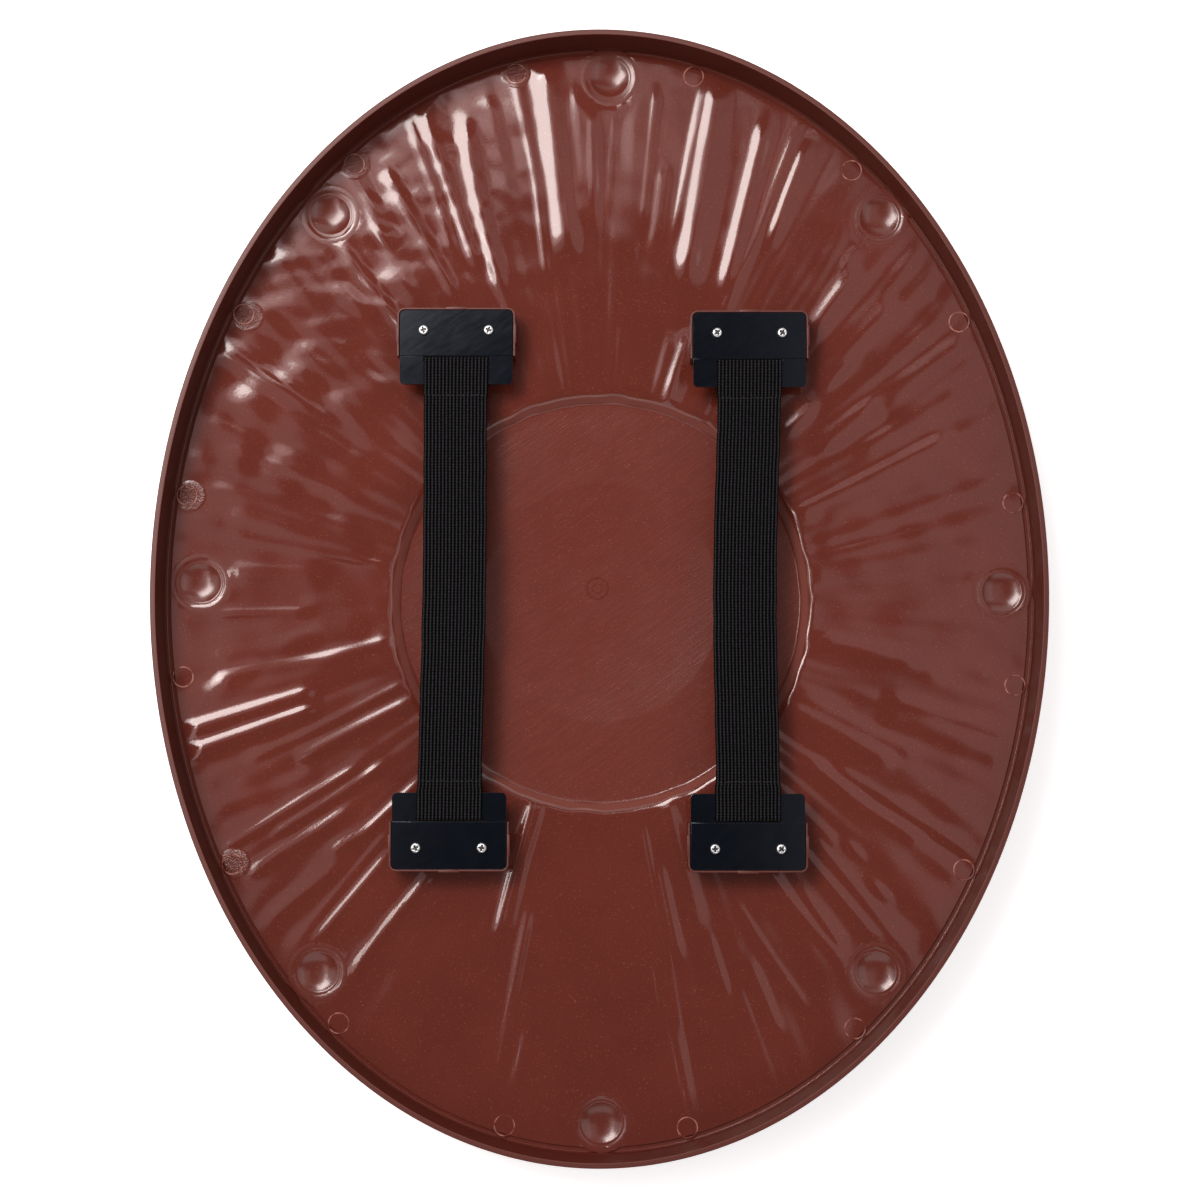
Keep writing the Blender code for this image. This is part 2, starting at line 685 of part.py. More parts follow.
def main():
    """Clears the scene and builds the shield."""
    for leftover in list(bpy.data.objects):
        bpy.data.objects.remove(leftover)
    shell_plastic = material("brown_plastic", (0.105, 0.026, 0.017), 0.25)
    plate_plastic = material("black_plastic", (0.008, 0.009, 0.012), 0.40)
    webbing = material("black_elastic", (0.010, 0.010, 0.010), 0.85)
    steel = material("bright_steel", (0.60, 0.60, 0.58), 0.30, 1.0)
    make_shell(shell_plastic)
    for anchor in ANCHORS:
        make_plate(anchor, plate_plastic)
    make_screws(steel)
    for strap in STRAPS:
        make_strap(strap, webbing)


if __name__ == "__main__":
    main()
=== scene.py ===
"""Looks for the back of an oval costume shield in glossy brown moulded plastic.

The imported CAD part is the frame. Each operator makes one group of pieces over it, in metres,
with the shield lying on its front and its hollow back up.
"""
import math
from collections import namedtuple

import bmesh
import bpy
import numpy as np
from bpy.props import FloatProperty, FloatVectorProperty, IntProperty, PointerProperty
from mathutils import Matrix, Vector


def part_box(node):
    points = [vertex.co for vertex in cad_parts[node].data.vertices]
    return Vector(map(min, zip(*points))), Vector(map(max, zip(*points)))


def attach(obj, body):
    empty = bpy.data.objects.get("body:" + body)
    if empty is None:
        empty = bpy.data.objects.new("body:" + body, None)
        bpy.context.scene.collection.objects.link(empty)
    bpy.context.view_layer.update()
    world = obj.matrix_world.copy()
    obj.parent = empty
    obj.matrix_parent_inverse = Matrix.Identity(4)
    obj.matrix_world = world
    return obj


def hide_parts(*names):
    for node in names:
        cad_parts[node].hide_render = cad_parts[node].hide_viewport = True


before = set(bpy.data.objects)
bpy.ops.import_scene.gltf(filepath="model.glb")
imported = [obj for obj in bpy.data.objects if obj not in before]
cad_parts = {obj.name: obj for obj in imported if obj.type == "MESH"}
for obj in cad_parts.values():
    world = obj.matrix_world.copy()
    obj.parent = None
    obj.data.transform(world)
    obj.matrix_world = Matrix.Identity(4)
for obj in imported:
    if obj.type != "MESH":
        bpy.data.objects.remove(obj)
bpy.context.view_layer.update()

bl_info = {
    "name": "Costume shield back",
    "version": (1, 0, 0),
    "blender": (4, 5, 0),
    "location": "3D View > Sidebar > Shield",
    "description": "Makes the moulded shell, anchor plates, screws and elastic straps of a costume shield",
    "category": "Object",
}

SHELL_LOW, SHELL_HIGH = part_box("shield_shell")
BODY = "root"

# Shell, as in the CAD part
HALF_WIDTH = SHELL_HIGH.x
HALF_LENGTH = SHELL_HIGH.y
RIM_TOP_Z = SHELL_HIGH.z
WALL = 0.0025
BOSS_X = 0.0006
BOSS_Y = -0.0049
REST_FLAT_RADIUS = 0.020
DOME_RADIUS = 0.066
DOME_DEPTH = 0.003
BOSS_RADIUS = 0.1148
BOSS_FLOOR_DEPTH = 0.0015
BOSS_STEP_DEPTH = 0.0045
BOSS_STEP_RUN = 0.005
DISH_DEPTH = 0.006
DISH_CURVE = 1.6
RIM_EDGE = 0.003
WALL_BASE_INSET = 0.0035
DISH_INSET = 0.0064
GROOVE_DEPTH = 0.0012
RIM_CORNER = 0.002
BOSS_FLOOR_Z = WALL + DOME_DEPTH + BOSS_FLOOR_DEPTH
BOSS_EDGE_Z = BOSS_FLOOR_Z + BOSS_STEP_DEPTH
DISH_EDGE_Z = BOSS_EDGE_Z + DISH_DEPTH
GROOVE_Z = DISH_EDGE_Z - GROOVE_DEPTH
BOSS_FLOOR_EDGE = BOSS_RADIUS - BOSS_STEP_RUN
DISH_RUN = HALF_WIDTH - DISH_INSET - BOSS_RADIUS

# Relief of the dish is placed by an angle about the boss, in degrees anticlockwise from +X, and
# by a share of the way from a circle just inside the boss edge to the outside of the rim
SHARE_START = 0.1039
SHARE_RIM_SCALE = 1.0257
KEY_SIDE = Vector((-0.62, 0.78))

# Height of a ridge, and how wide it spreads each way from its crest
Form = namedtuple("Form", "height spread")
BROAD = Form(0.00105, 0.0031)
FIRM = Form(0.00085, 0.0025)
SLIM = Form(0.00055, 0.0017)
THIN = Form(0.00028, 0.0010)
SOFT = Form(0.00060, 0.0040)
FAINT = Form(0.00034, 0.0030)
TALL = Form(0.00150, 0.0029)
KEEN = Form(0.00080, 0.0018)
WIDE = Form(0.00165, 0.0048)

# Ridges: the streak of light on each goes through these (share, angle) places, from end to end
Ridge = namedtuple("Ridge", "form places")
RIDGES = (
    Ridge(FAINT, ((0.08, 9), (0.90, 9))),
    Ridge(FAINT, ((0.15, 13), (0.85, 13))),
    Ridge(FAINT, ((0.15, 17), (0.85, 17.5))),
    Ridge(FAINT, ((0.20, 22), (0.80, 22))),
    Ridge(SOFT, ((0.08, 25.5), (0.70, 26))),
    Ridge(FAINT, ((0.40, 31), (0.80, 31))),
    Ridge(FAINT, ((0.55, 33), (0.90, 33.5))),
    Ridge(SOFT, ((0.27, 36.5), (0.50, 36.5))),
    Ridge(FAINT, ((0.55, 35.5), (0.90, 36))),
    Ridge(FIRM, ((0.20, 43.5), (0.32, 43.5))),
    Ridge(SLIM, ((0.40, 44.3), (0.52, 44.3))),
    Ridge(SOFT, ((0.40, 46.5), (0.72, 46.5))),
    Ridge(BROAD, ((0.48, 53), (0.68, 53))),
    Ridge(SLIM, ((0.68, 54.5), (0.72, 54.5))),
    Ridge(FIRM, ((0.60, 65.3), (0.75, 66), (0.88, 66.2))),
    Ridge(SLIM, ((0.36, 67.5), (0.58, 67.2), (0.92, 67.8))),
    Ridge(BROAD, ((0.42, 69.5), (0.60, 70.5), (0.86, 71.5))),
    Ridge(FIRM, ((0.06, 72.5), (0.24, 72.5))),
    Ridge(SOFT, ((0.06, 75), (0.24, 75))),
    Ridge(WIDE, ((0.40, 76.8), (0.55, 77.3), (0.92, 78))),
    Ridge(THIN, ((0.50, 79), (0.88, 79))),
    Ridge(SOFT, ((0.44, 82), (0.65, 82.5))),
    Ridge(SLIM, ((0.50, 84), (0.86, 84))),
    Ridge(THIN, ((0.55, 89), (0.78, 88.5))),
    Ridge(SLIM, ((0.55, 91.3), (0.80, 91.3))),
    Ridge(SOFT, ((0.50, 93.5), (0.85, 93.5))),
    Ridge(WIDE, ((0.43, 96.6), (0.92, 96.8))),
    Ridge(SLIM, ((0.37, 99.8), (0.62, 99), (0.92, 99.5))),
    Ridge(FAINT, ((0.10, 103), (0.20, 103))),
    Ridge(FAINT, ((0.53, 103), (0.88, 103))),
    Ridge(BROAD, ((0.39, 108.5), (0.65, 107.5), (0.82, 106.5))),
    Ridge(FIRM, ((0.47, 110.8), (0.90, 110.5))),
    Ridge(SLIM, ((0.56, 113), (0.70, 112.2), (0.90, 112))),
    Ridge(FIRM, ((0.42, 116), (0.82, 117))),
    Ridge(SOFT, ((0.48, 122), (0.62, 123.5))),
    Ridge(SLIM, ((0.65, 121.3), (0.75, 121.3))),
    Ridge(SLIM, ((0.40, 126), (0.75, 126.5))),
    Ridge(THIN, ((0.57, 144.5), (0.90, 144.5))),
    Ridge(THIN, ((0.57, 146), (0.90, 146))),
    Ridge(THIN, ((0.60, 147.5), (0.90, 147.5))),
    Ridge(FAINT, ((0.45, 153.5), (0.85, 154.5))),
    Ridge(FAINT, ((0.50, 159.5), (0.90, 160))),
    Ridge(FAINT, ((0.30, 150), (0.80, 150.5))),
    Ridge(THIN, ((0.30, 156.5), (0.75, 157))),
    Ridge(FAINT, ((0.25, 162.5), (0.80, 163))),
    Ridge(SOFT, ((0.20, 165.5), (0.70, 165.5))),
    Ridge(SLIM, ((0.10, 169.5), (0.45, 169.5))),
    Ridge(SLIM, ((0.45, 169.5), (0.70, 169.5))),
    Ridge(SOFT, ((0.35, 173.5), (0.90, 174.5))),
    Ridge(FAINT, ((0.10, 179), (0.40, 179))),
    Ridge(SLIM, ((0.40, 181.5), (0.75, 181.5))),
    Ridge(SOFT, ((0.20, 184.8), (0.35, 184.8), (0.50, 186.8), (0.75, 186.8))),
    Ridge(BROAD, ((0.08, 189), (0.35, 190.8), (0.60, 190), (0.75, 190.7))),
    Ridge(SOFT, ((0.10, 193), (0.65, 193), (0.80, 191.8))),
    Ridge(TALL, ((0.42, 196.4), (0.95, 196.8))),
    Ridge(TALL, ((0.43, 199.5), (0.95, 199.5))),
    Ridge(SLIM, ((0.08, 202), (0.35, 203.5), (0.50, 203.8), (0.70, 203.7))),
    Ridge(FIRM, ((0.08, 206.7), (0.30, 206.8), (0.52, 207.1))),
    Ridge(FAINT, ((0.50, 210), (0.90, 207.5))),
    Ridge(KEEN, ((0.36, 213.8), (0.60, 213.3), (0.92, 213))),
    Ridge(KEEN, ((0.28, 216.3), (0.50, 215.8), (0.70, 215.2))),
    Ridge(FIRM, ((0.45, 219), (0.68, 217.7), (0.84, 217.2))),
    Ridge(KEEN, ((0.20, 224.2), (0.45, 224), (0.56, 222.5))),
    Ridge(FAINT, ((0.57, 225), (0.85, 223))),
    Ridge(THIN, ((0.40, 227), (0.83, 228.2))),
    Ridge(KEEN, ((0.43, 229.5), (0.80, 229.7))),
    Ridge(KEEN, ((0.40, 237.7), (0.55, 236.5), (0.78, 235.8))),
    Ridge(KEEN, ((0.06, 250.7), (0.43, 252.3))),
    Ridge(SLIM, ((0.06, 253), (0.20, 253), (0.42, 254))),
    Ridge(SLIM, ((0.35, 256.5), (0.78, 257.5))),
    Ridge(SLIM, ((0.66, 260), (0.83, 259.5))),
    Ridge(THIN, ((0.47, 277.5), (0.60, 277.5))),
    Ridge(SLIM, ((0.62, 279), (0.93, 279.8))),
    Ridge(THIN, ((0.10, 280.4), (0.45, 280.4), (0.85, 280))),
    Ridge(SLIM, ((0.23, 282), (0.45, 282))),
    Ridge(SOFT, ((0.06, 286), (0.43, 285))),
    Ridge(SLIM, ((0.45, 287.3), (0.60, 287.3))),
    Ridge(THIN, ((0.60, 289.3), (0.92, 289.3))),
    Ridge(SLIM, ((0.58, 292), (0.77, 292))),
    Ridge(THIN, ((0.40, 294), (0.75, 296.5))),
    Ridge(SLIM, ((0.40, 301.5), (0.77, 303.5))),
    Ridge(THIN, ((0.50, 304.5), (0.70, 304.5))),
    Ridge(SLIM, ((0.40, 309.5), (0.80, 309.5))),
    Ridge(THIN, ((0.40, 312.5), (0.90, 311))),
    Ridge(FAINT, ((0.20, 315), (0.47, 315))),
    Ridge(SLIM, ((0.50, 316), (0.57, 316))),
    Ridge(SLIM, ((0.65, 314.3), (0.72, 314.3))),
    Ridge(FIRM, ((0.25, 323.5), (0.50, 323), (0.70, 324))),
    Ridge(SLIM, ((0.35, 325.5), (0.90, 326))),
    Ridge(SOFT, ((0.08, 332.5), (0.50, 332.5))),
    Ridge(FAINT, ((0.10, 336.5), (0.57, 334.8))),
    Ridge(SOFT, ((0.43, 339.5), (0.90, 339.5))),
    Ridge(FIRM, ((0.43, 342.5), (0.90, 342.5))),
    Ridge(FAINT, ((0.10, 350), (0.60, 348.5))),
    Ridge(FIRM, ((0.13, 351.5), (0.50, 350))),
)
RIDGE_FADE = 0.035

# Soft dents at the upper left: share, angle, how far each spreads and how deep it is
Dent = namedtuple("Dent", "share angle spread depth")
DENTS = (
    Dent(0.48, 133.5, 0.0063, 0.00039),
    Dent(0.25, 141.5, 0.0063, 0.00033),
    Dent(0.37, 147.5, 0.0056, 0.00033),
    Dent(0.43, 145.5, 0.0050, 0.00033),
    Dent(0.53, 143.3, 0.0052, 0.00049),
    Dent(0.71, 140.5, 0.0063, 0.00039),
    Dent(0.72, 143.5, 0.0056, 0.00033),
    Dent(0.81, 148.5, 0.0056, 0.00039),
    Dent(0.78, 153.0, 0.0050, 0.00039),
    Dent(0.64, 156.3, 0.0052, 0.00039),
    Dent(0.66, 158.0, 0.0050, 0.00033),
    Dent(0.36, 161.0, 0.0056, 0.00033),
    Dent(0.79, 161.5, 0.0052, 0.00039),
)

# Low seeded waves all over the dish, higher in its lumpy part at the upper left
WAVE_SEED = 11
WAVES = 26
WAVE_HEIGHT = 0.000010
WAVE_LENGTHS = (0.018, 0.050)
LUMPY_ANGLE = 143
LUMPY_SPREAD = 22
LUMPY_GAIN = 2.0
LUMPY_START = 0.2
LUMPY_RISE = 0.3

# Fine seeded flutes all round, lower at the smooth foot of the shield
FLUTE_SEED = 23
FLUTES = 60
FLUTE_TILT = 0.060
FLUTE_COUNTS = (22, 130)
FLUTE_DRIFT = 3
FLUTE_LENGTHS = (0.12, 0.45)
FLUTE_LUMPY_GAIN = 0.5
SMOOTH_ANGLE = 263
SMOOTH_SPREAD = 30
SMOOTH_LOSS = 0.75

# Short seeded waves that cross the flutes at the upper left
CROSS_SEED = 31
CROSS_WAVES = 14
CROSS_TILT = 0.050
CROSS_HEADINGS = (60, 125)
CROSS_LENGTHS = (0.009, 0.020)
CROSS_ANGLE = 122
CROSS_SPREAD = 20
CROSS_START = 0.25
CROSS_RISE = 0.25

# Wander of the boss's edge: waves by their count round it, size and phase
STEP_WOBBLE = 0.00035
STEP_WAVES = ((17, 0.6, 1.0), (29, 0.8, 2.2), (43, 0.5, 0.0))
STEP_WOBBLE_INSET = 0.001
STEP_WOBBLE_SPREAD = 0.0035

# Lengths over which the relief fades out, and its share on the front
BOSS_FADE = 0.004
BORDER_FADE = 0.008
STUD_FADE = 0.007
FRONT_RELIEF = 0.6

# Studs and ejector-pin marks: the angle of the oval at the foot, and the inset square to it
Spot = namedtuple("Spot", "angle inset")
STUDS = (
    Spot(0.0, 0.0204),
    Spot(45.7, 0.0169),
    Spot(88.5, 0.0184),
    Spot(133.2, 0.0205),
    Spot(179.0, 0.0222),
    Spot(225.7, 0.0201),
    Spot(270.3, 0.0194),
    Spot(313.9, 0.0222),
)
STUD_BOWL_RADIUS = 0.0109
STUD_BOWL_DEPTH = 0.0022
STUD_BOWL_POWER = 2.4
STUD_BOWL_ROWS = 18
STUD_DOME_ROWS = 8
STUD_RING_RADIUS = 0.0129
STUD_RING_DEPTH = 0.0003
STUD_FLANGE_RADIUS = 0.0160
SHELL_THINNING = WALL * 0.25
PIN_MARK_ANGLES = (
    9.5, 30.2, 52.3, 76.7, 101.8, 126.5, 148.8, 169.7,
    189.0, 209.9, 232.0, 257.0, 282.0, 307.1, 329.4, 350.1,
)
PIN_MARK_INSET = 0.0104
PIN_MARK_RADIUS = 0.0054
PIN_MARK_LINE = 0.00040
RING_FLATNESS = 0.7

# Patches at some of the pin marks where the plastic looks rubbed
RUBBED_SPOTS = (
    Spot(126.5, 0.0110),
    Spot(148.8, 0.0135),
    Spot(169.7, 0.0125),
    Spot(209.9, 0.0120),
    Spot(101.8, 0.0100),
)
RUBBED_RADIUS = 0.0085
RUBBED_CORE = 0.0040

# Gate mark: two rings near the middle of the boss
GATE_X = -0.0014
GATE_Y = 0.0032
GATE_RADIUS = 0.0058
GATE_LINE = PIN_MARK_LINE * 1.6
GATE_INNER_RADIUS = GATE_RADIUS * 0.45

# Anchor plates, their moulded blocks, screws and straps, as in the CAD part
Anchor = namedtuple("Anchor", "name x step_y inward")
ANCHORS = (
    Anchor("upper_left", -0.0780, 0.1280, -1),
    Anchor("upper_right", 0.0817, 0.1265, -1),
    Anchor("lower_left", -0.0807, -0.1244, 1),
    Anchor("lower_right", 0.0796, -0.1250, 1),
)
BLOCK_TOP_Z = BOSS_EDGE_Z + 0.0150
BLOCK_WALL = 0.0010
BLOCK_EDGE = 0.00022
BLOCK_CORNER_STEPS = 8
PLATE_SIDE_CLEARANCE = 0.0004
TAB_LENGTH = 0.0112
TAB_THICKNESS = 0.0005
TAB_DEPTH = 0.0060
TAB_RISE = 0.00008
TAB_EDGE = 0.0002
PIECE_GAP = 0.0003
PLATE_UNDER_Z = BLOCK_TOP_Z + PIECE_GAP
PLATE_WIDTH = 0.0614
PLATE_SEAT_DEPTH = 0.0250
PLATE_LIP_DEPTH = 0.0156
PLATE_THICKNESS = 0.0032
PLATE_LIP_THICKNESS = 0.0022
PLATE_CORNER = 0.0026
PLATE_EDGE = 0.00028
FLAT_FACE_AREA = 4e-6
PLATE_TOP_Z = PLATE_UNDER_Z + PLATE_THICKNESS
BLOCK_WALL_TOP_Z = PLATE_TOP_Z - 0.0004
SCREW_PITCH = 0.0354
SCREW_FROM_STEP = 0.0138
SCREW_HEAD_RADIUS = 0.0028
SCREW_HEAD_HEIGHT = 0.0019
SCREW_HEAD_SIDE = 0.0007
SCREW_HEAD_ROWS = 14
SCREW_SHANK_RADIUS = 0.0014
SCREW_SHANK_LENGTH = 0.0060
RECESS_DEPTH = 0.0010
RECESS_HALF_WIDTH = 0.00052
RECESS_SLOPE = 0.00022
RECESS_REACH = 0.0018
RECESS_END = 0.0004
RECESS_BOWL_RADIUS = 0.0010
RECESS_BOWL_SLOPE = 0.0006
SCREW_TURNS = (12, 71, 38, 55, 25, 80, 4, 47)
STRAP_THICKNESS = 0.0016
STRAP_TAIL = 0.0130
STRAP_NARROWING = 0.992
STRAP_DOUBLED_GAIN = 0.022
STRAP_EDGE_WANDER = 0.00008
COLUMNS_TO_A_RIB = 6
PINCH_DEPTH = 0.0004
PINCH_REACH = 0.0006
Strap = namedtuple("Strap", "name upper lower bow")
STRAPS = (
    Strap("left", "upper_left", "lower_left", 0.0010),
    Strap("right", "upper_right", "lower_right", -0.0022),
)
SLOT_DEPTH = STRAP_THICKNESS + 2 * PIECE_GAP
LIP_BAR_START = PIECE_GAP + SLOT_DEPTH
SLOT_SIDE_CLEARANCE = 0.0006
STITCH_FROM_LIP = 0.0063
STITCHES_ACROSS = 12
STITCH_MARGIN = 0.0015
STITCH_LENGTH_SHARE = 0.46
STITCH_HALF_WIDTH = 0.00026
STITCH_HALF_HEIGHT = 0.00022
STITCH_LEAN = 0.35
STITCH_SCATTER = 0.00025
STITCH_SINK = 0.00034

# Camera: the width of view at the rim, and the point of the rim's plane that it looks at
SENSOR_WIDTH = 36.0
VIEW_WIDTH = 0.640
TARGET_X = 0.00027
TARGET_Y = -0.0061


def colour(name, description, default):
    """A colour a user may change."""
    return FloatVectorProperty(
        name=name, description=description, subtype="COLOR", size=3, min=0, max=1, default=default,
    )


def length(name, description, default, low=0.0, high=3.0):
    """A length a user may change."""
    return FloatProperty(
        name=name, description=description, subtype="DISTANCE", unit="LENGTH",
        precision=5, min=low, max=high, default=default,
    )


def factor(name, description, default, high=1.0):
    """A plain amount a user may change."""
    return FloatProperty(
        name=name, description=description, subtype="FACTOR", min=0.0, max=high, default=default,
    )


class ShieldShellSettings(bpy.types.PropertyGroup):
    """Sizes and finish of the moulded shell."""

    plastic: colour("Plastic", "Colour of the brown plastic", (0.098, 0.0190, 0.0118))
    dish_gloss: factor("Dish roughness", "Roughness of the glossy dish", 0.080)
    boss_gloss: factor("Boss roughness", "Roughness of the satin boss", 0.20)
    stud_gloss: factor("Stud roughness", "Roughness of the hollow studs", 0.19)
    rim_matt: factor("Rim roughness", "Added roughness of the rim and the blocks", 0.42)
    relief: factor("Relief", "Scale of the ridges and dents of the dish", 1.0, 3.0)
    steps: IntProperty(
        name="Steps", description="Facets once round the shell", min=104, max=752, default=744,
    )


class ShieldFittingsSettings(bpy.types.PropertyGroup):
    """Sizes and finish of the plates, screws and straps."""

    plate: colour("Plate", "Colour of the anchor plates", (0.0020, 0.0028, 0.0050))
    elastic: colour("Elastic", "Colour of the elastic", (0.0058, 0.0058, 0.0066))
    steel: colour("Screws", "Colour of the zinc on the screws", (0.72, 0.75, 0.76))
    strap_width: length("Strap width", "Width of the elastic", 0.0345, 0.02, 0.05)
    strap_ribs: IntProperty(
        name="Ribs", description="Lengthwise ribs across a strap", min=6, max=30, default=18,
    )
    rib_height: length("Rib height", "How far the ribs stand up", 0.00060, 0.0, 0.001)


class ShieldStageSettings(bpy.types.PropertyGroup):
    """Camera, floor and studio light."""

    camera_distance: length("Camera distance", "From the rim to the camera", 1.100, 0.5)
    camera_tilt: FloatProperty(
        name="Camera tilt", description="How far below square the camera looks from",
        subtype="ANGLE", unit="ROTATION", default=math.radians(3.8),
    )
    floor: colour("Floor", "Colour of the floor", (0.90, 0.90, 0.90))
    key_radiance: factor("Key light", "Brightness of the main soft light", 17.0, 100.0)
    edge_radiance: factor("Key edge", "Brightness of the main light's outer edge", 27.0, 100.0)
    haze_radiance: factor("Key haze", "Brightness of the dim inner strip and the low panel", 2.6, 40.0)
    strip_radiance: factor("Left strip", "Brightness of the strip light at the left", 10.0, 100.0)
    side_radiance: factor("Side panels", "Brightness of the dim panels at both sides", 0.85, 20.0)
    bar_radiance: factor("Overhead bars", "Brightness of the bars above the top", 2.1, 40.0)
    fill_radiance: factor("Fill lights", "Brightness of the large fill lights", 1.2, 20.0)
    low_radiance: factor("Weak fills", "Brightness of the fills at the right and front", 1.1, 20.0)
    floor_glow: factor("Floor glow", "Light that the floor gives by itself", 0.6, 5.0)
    surround: factor("Surround", "Brightness of the room", 0.12, 5.0)


def finish_mesh(name, built, smooth_angle=35):
    """Turns a bmesh into a smooth-shaded mesh with its faces outwards and its edges kept."""
    bmesh.ops.remove_doubles(built, verts=built.verts, dist=1e-7)
    bmesh.ops.recalc_face_normals(built, faces=built.faces)
    mesh = bpy.data.meshes.new(name)
    built.to_mesh(mesh)
    built.free()
    mesh.shade_smooth()
    mesh.set_sharp_from_angle(angle=math.radians(smooth_angle))
    return mesh


def keep_flat(mesh):
    """Shades the large faces of a mesh flat, so that its rounded edges stay narrow."""
    for face in mesh.polygons:
        if face.area > FLAT_FACE_AREA:
            face.use_smooth = False
    return mesh


def add_piece(name, mesh, finish, replaced=()):
    """Puts a finished piece on the body and the nodes it stands for."""
    piece = bpy.data.objects.new(name, mesh)
    bpy.context.scene.collection.objects.link(piece)
    piece.data.materials.append(finish)
    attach(piece, BODY)
    if replaced:
        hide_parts(*replaced)
    return piece


def read_points(mesh):
    """The vertices of a mesh as an array."""
    points = np.empty(len(mesh.vertices) * 3)
    mesh.vertices.foreach_get("co", points)
    return points.reshape(-1, 3)


def write_points(mesh, points):
    """Moves the vertices of a mesh to an array of places."""
    mesh.vertices.foreach_set("co", points.reshape(-1))
    mesh.update()


def ease(share):
    """Smooth step from 0 to 1."""
    held = np.clip(share, 0.0, 1.0)
    return held * held * (3 - 2 * held)


def rim_radius(angle, inset):
    """Distance from the middle of the boss to the oval, drawn in by an inset."""
    half_width = HALF_WIDTH - inset
    half_length = HALF_LENGTH - inset
    east = np.cos(angle) / half_width
    north = np.sin(angle) / half_length
    start_x = BOSS_X / half_width
    start_y = BOSS_Y / half_length
    square = east**2 + north**2
    lean = start_x * east + start_y * north
    outside = start_x**2 + start_y**2 - 1
    return (np.sqrt(lean**2 - square * outside) - lean) / square


def spoke_angle(turn):
    """Angle about the boss of the spoke that meets the oval at a turn of it."""
    return np.arctan2(
        HALF_LENGTH * np.sin(turn) - BOSS_Y, HALF_WIDTH * np.cos(turn) - BOSS_X,
    )


def ridge_heights(angle, radius, share):
    """Height of all ridges together."""
    degrees = np.degrees(angle) % 360
    total = np.zeros_like(radius)
    for ridge in RIDGES:
        shares, angles = zip(*ridge.places)
        near = (share > shares[0] - RIDGE_FADE) & (share < shares[-1] + RIDGE_FADE)
        middle = math.radians(angles[len(angles) // 2])
        rising = Vector((-math.sin(middle), math.cos(middle)))
        side = -1 if rising.dot(KEY_SIDE) > 0 else 1
        here_share = share[near]
        here_radius = radius[near]
        streak = np.interp(here_share, shares, angles)
        crest = streak + side * np.degrees(ridge.form.spread / here_radius)
        off = (degrees[near] - crest + 180) % 360 - 180
        distance = np.radians(off) * here_radius / ridge.form.spread
        rise = ease((here_share - shares[0] + RIDGE_FADE) / (2 * RIDGE_FADE))
        fall = ease((shares[-1] + RIDGE_FADE - here_share) / (2 * RIDGE_FADE))
        total[near] += ridge.form.height * np.exp(-distance**2 / 2) * rise * fall
    return total


def dent_depths(x, y):
    """Depth of all soft dents together."""
    total = np.zeros_like(x)
    for dent in DENTS:
        turn = math.radians(dent.angle)
        reach = SHARE_START + dent.share * (SHARE_RIM_SCALE * rim_radius(turn, 0) - SHARE_START)
        away = (x - BOSS_X - reach * math.cos(turn))**2 + (y - BOSS_Y - reach * math.sin(turn))**2
        total += dent.depth * np.exp(-away / (2 * dent.spread**2))
    return total


def plane_wave(x, y, heading, rate, phase):
    """A wave that runs over the plane at a heading."""
    return np.sin(rate * (x * math.cos(heading) + y * math.sin(heading)) + phase)


def waviness(x, y):
    """Small seeded unevenness of the moulding."""
    dice = np.random.RandomState(WAVE_SEED)
    total = np.zeros_like(x)
    for _ in range(WAVES):
        heading = dice.uniform(0, math.tau)
        rate = math.tau / dice.uniform(*WAVE_LENGTHS)
        phase = dice.uniform(0, math.tau)
        total += plane_wave(x, y, heading, rate, phase)
    return total * WAVE_HEIGHT


def nearness(angle, middle, spread):
    """One at a given angle in degrees, falling off smoothly to both sides of it."""
    off = (np.degrees(angle) - middle + 180) % 360 - 180
    return np.exp(-(off / spread)**2)


def fluting(angle, radius, share):
    """Fine seeded flutes that run outwards, each strong over part of its length."""
    dice = np.random.RandomState(FLUTE_SEED)
    total = np.zeros_like(radius)
    for _ in range(FLUTES):
        count = dice.randint(*FLUTE_COUNTS)
        phase = dice.uniform(0, math.tau)
        drift = dice.uniform(-FLUTE_DRIFT, FLUTE_DRIFT)
        middle = dice.uniform(0, 1)
        reach = dice.uniform(*FLUTE_LENGTHS)
        swell = np.exp(-((share - middle) / reach)**2)
        total += swell * np.sin(count * angle + phase + drift * share) / count
    gain = 1 - SMOOTH_LOSS * nearness(angle, SMOOTH_ANGLE, SMOOTH_SPREAD)
    gain += FLUTE_LUMPY_GAIN * nearness(angle, LUMPY_ANGLE, LUMPY_SPREAD)
    return total * radius * gain * FLUTE_TILT / math.sqrt(FLUTES / 2)


def cross_waves(x, y, angle, share):
    """Short waves across the flutes at the upper left."""
    dice = np.random.RandomState(CROSS_SEED)
    total = np.zeros_like(x)
    for _ in range(CROSS_WAVES):
        heading = math.radians(dice.uniform(*CROSS_HEADINGS))
        rate = math.tau / dice.uniform(*CROSS_LENGTHS)
        phase = dice.uniform(0, math.tau)
        total += plane_wave(x, y, heading, rate, phase) / rate
    here = nearness(angle, CROSS_ANGLE, CROSS_SPREAD) * ease((share - CROSS_START) / CROSS_RISE)
    return total * here * CROSS_TILT / math.sqrt(CROSS_WAVES / 2)


def step_wobble(angle, radius):
    """How far the edge of the boss wanders in and out where the flutes meet it."""
    wander = sum(size * np.sin(count * angle + phase) for count, size, phase in STEP_WAVES)
    away = (radius - BOSS_RADIUS + STEP_WOBBLE_INSET) / STEP_WOBBLE_SPREAD
    return STEP_WOBBLE * wander * np.exp(-away**2)


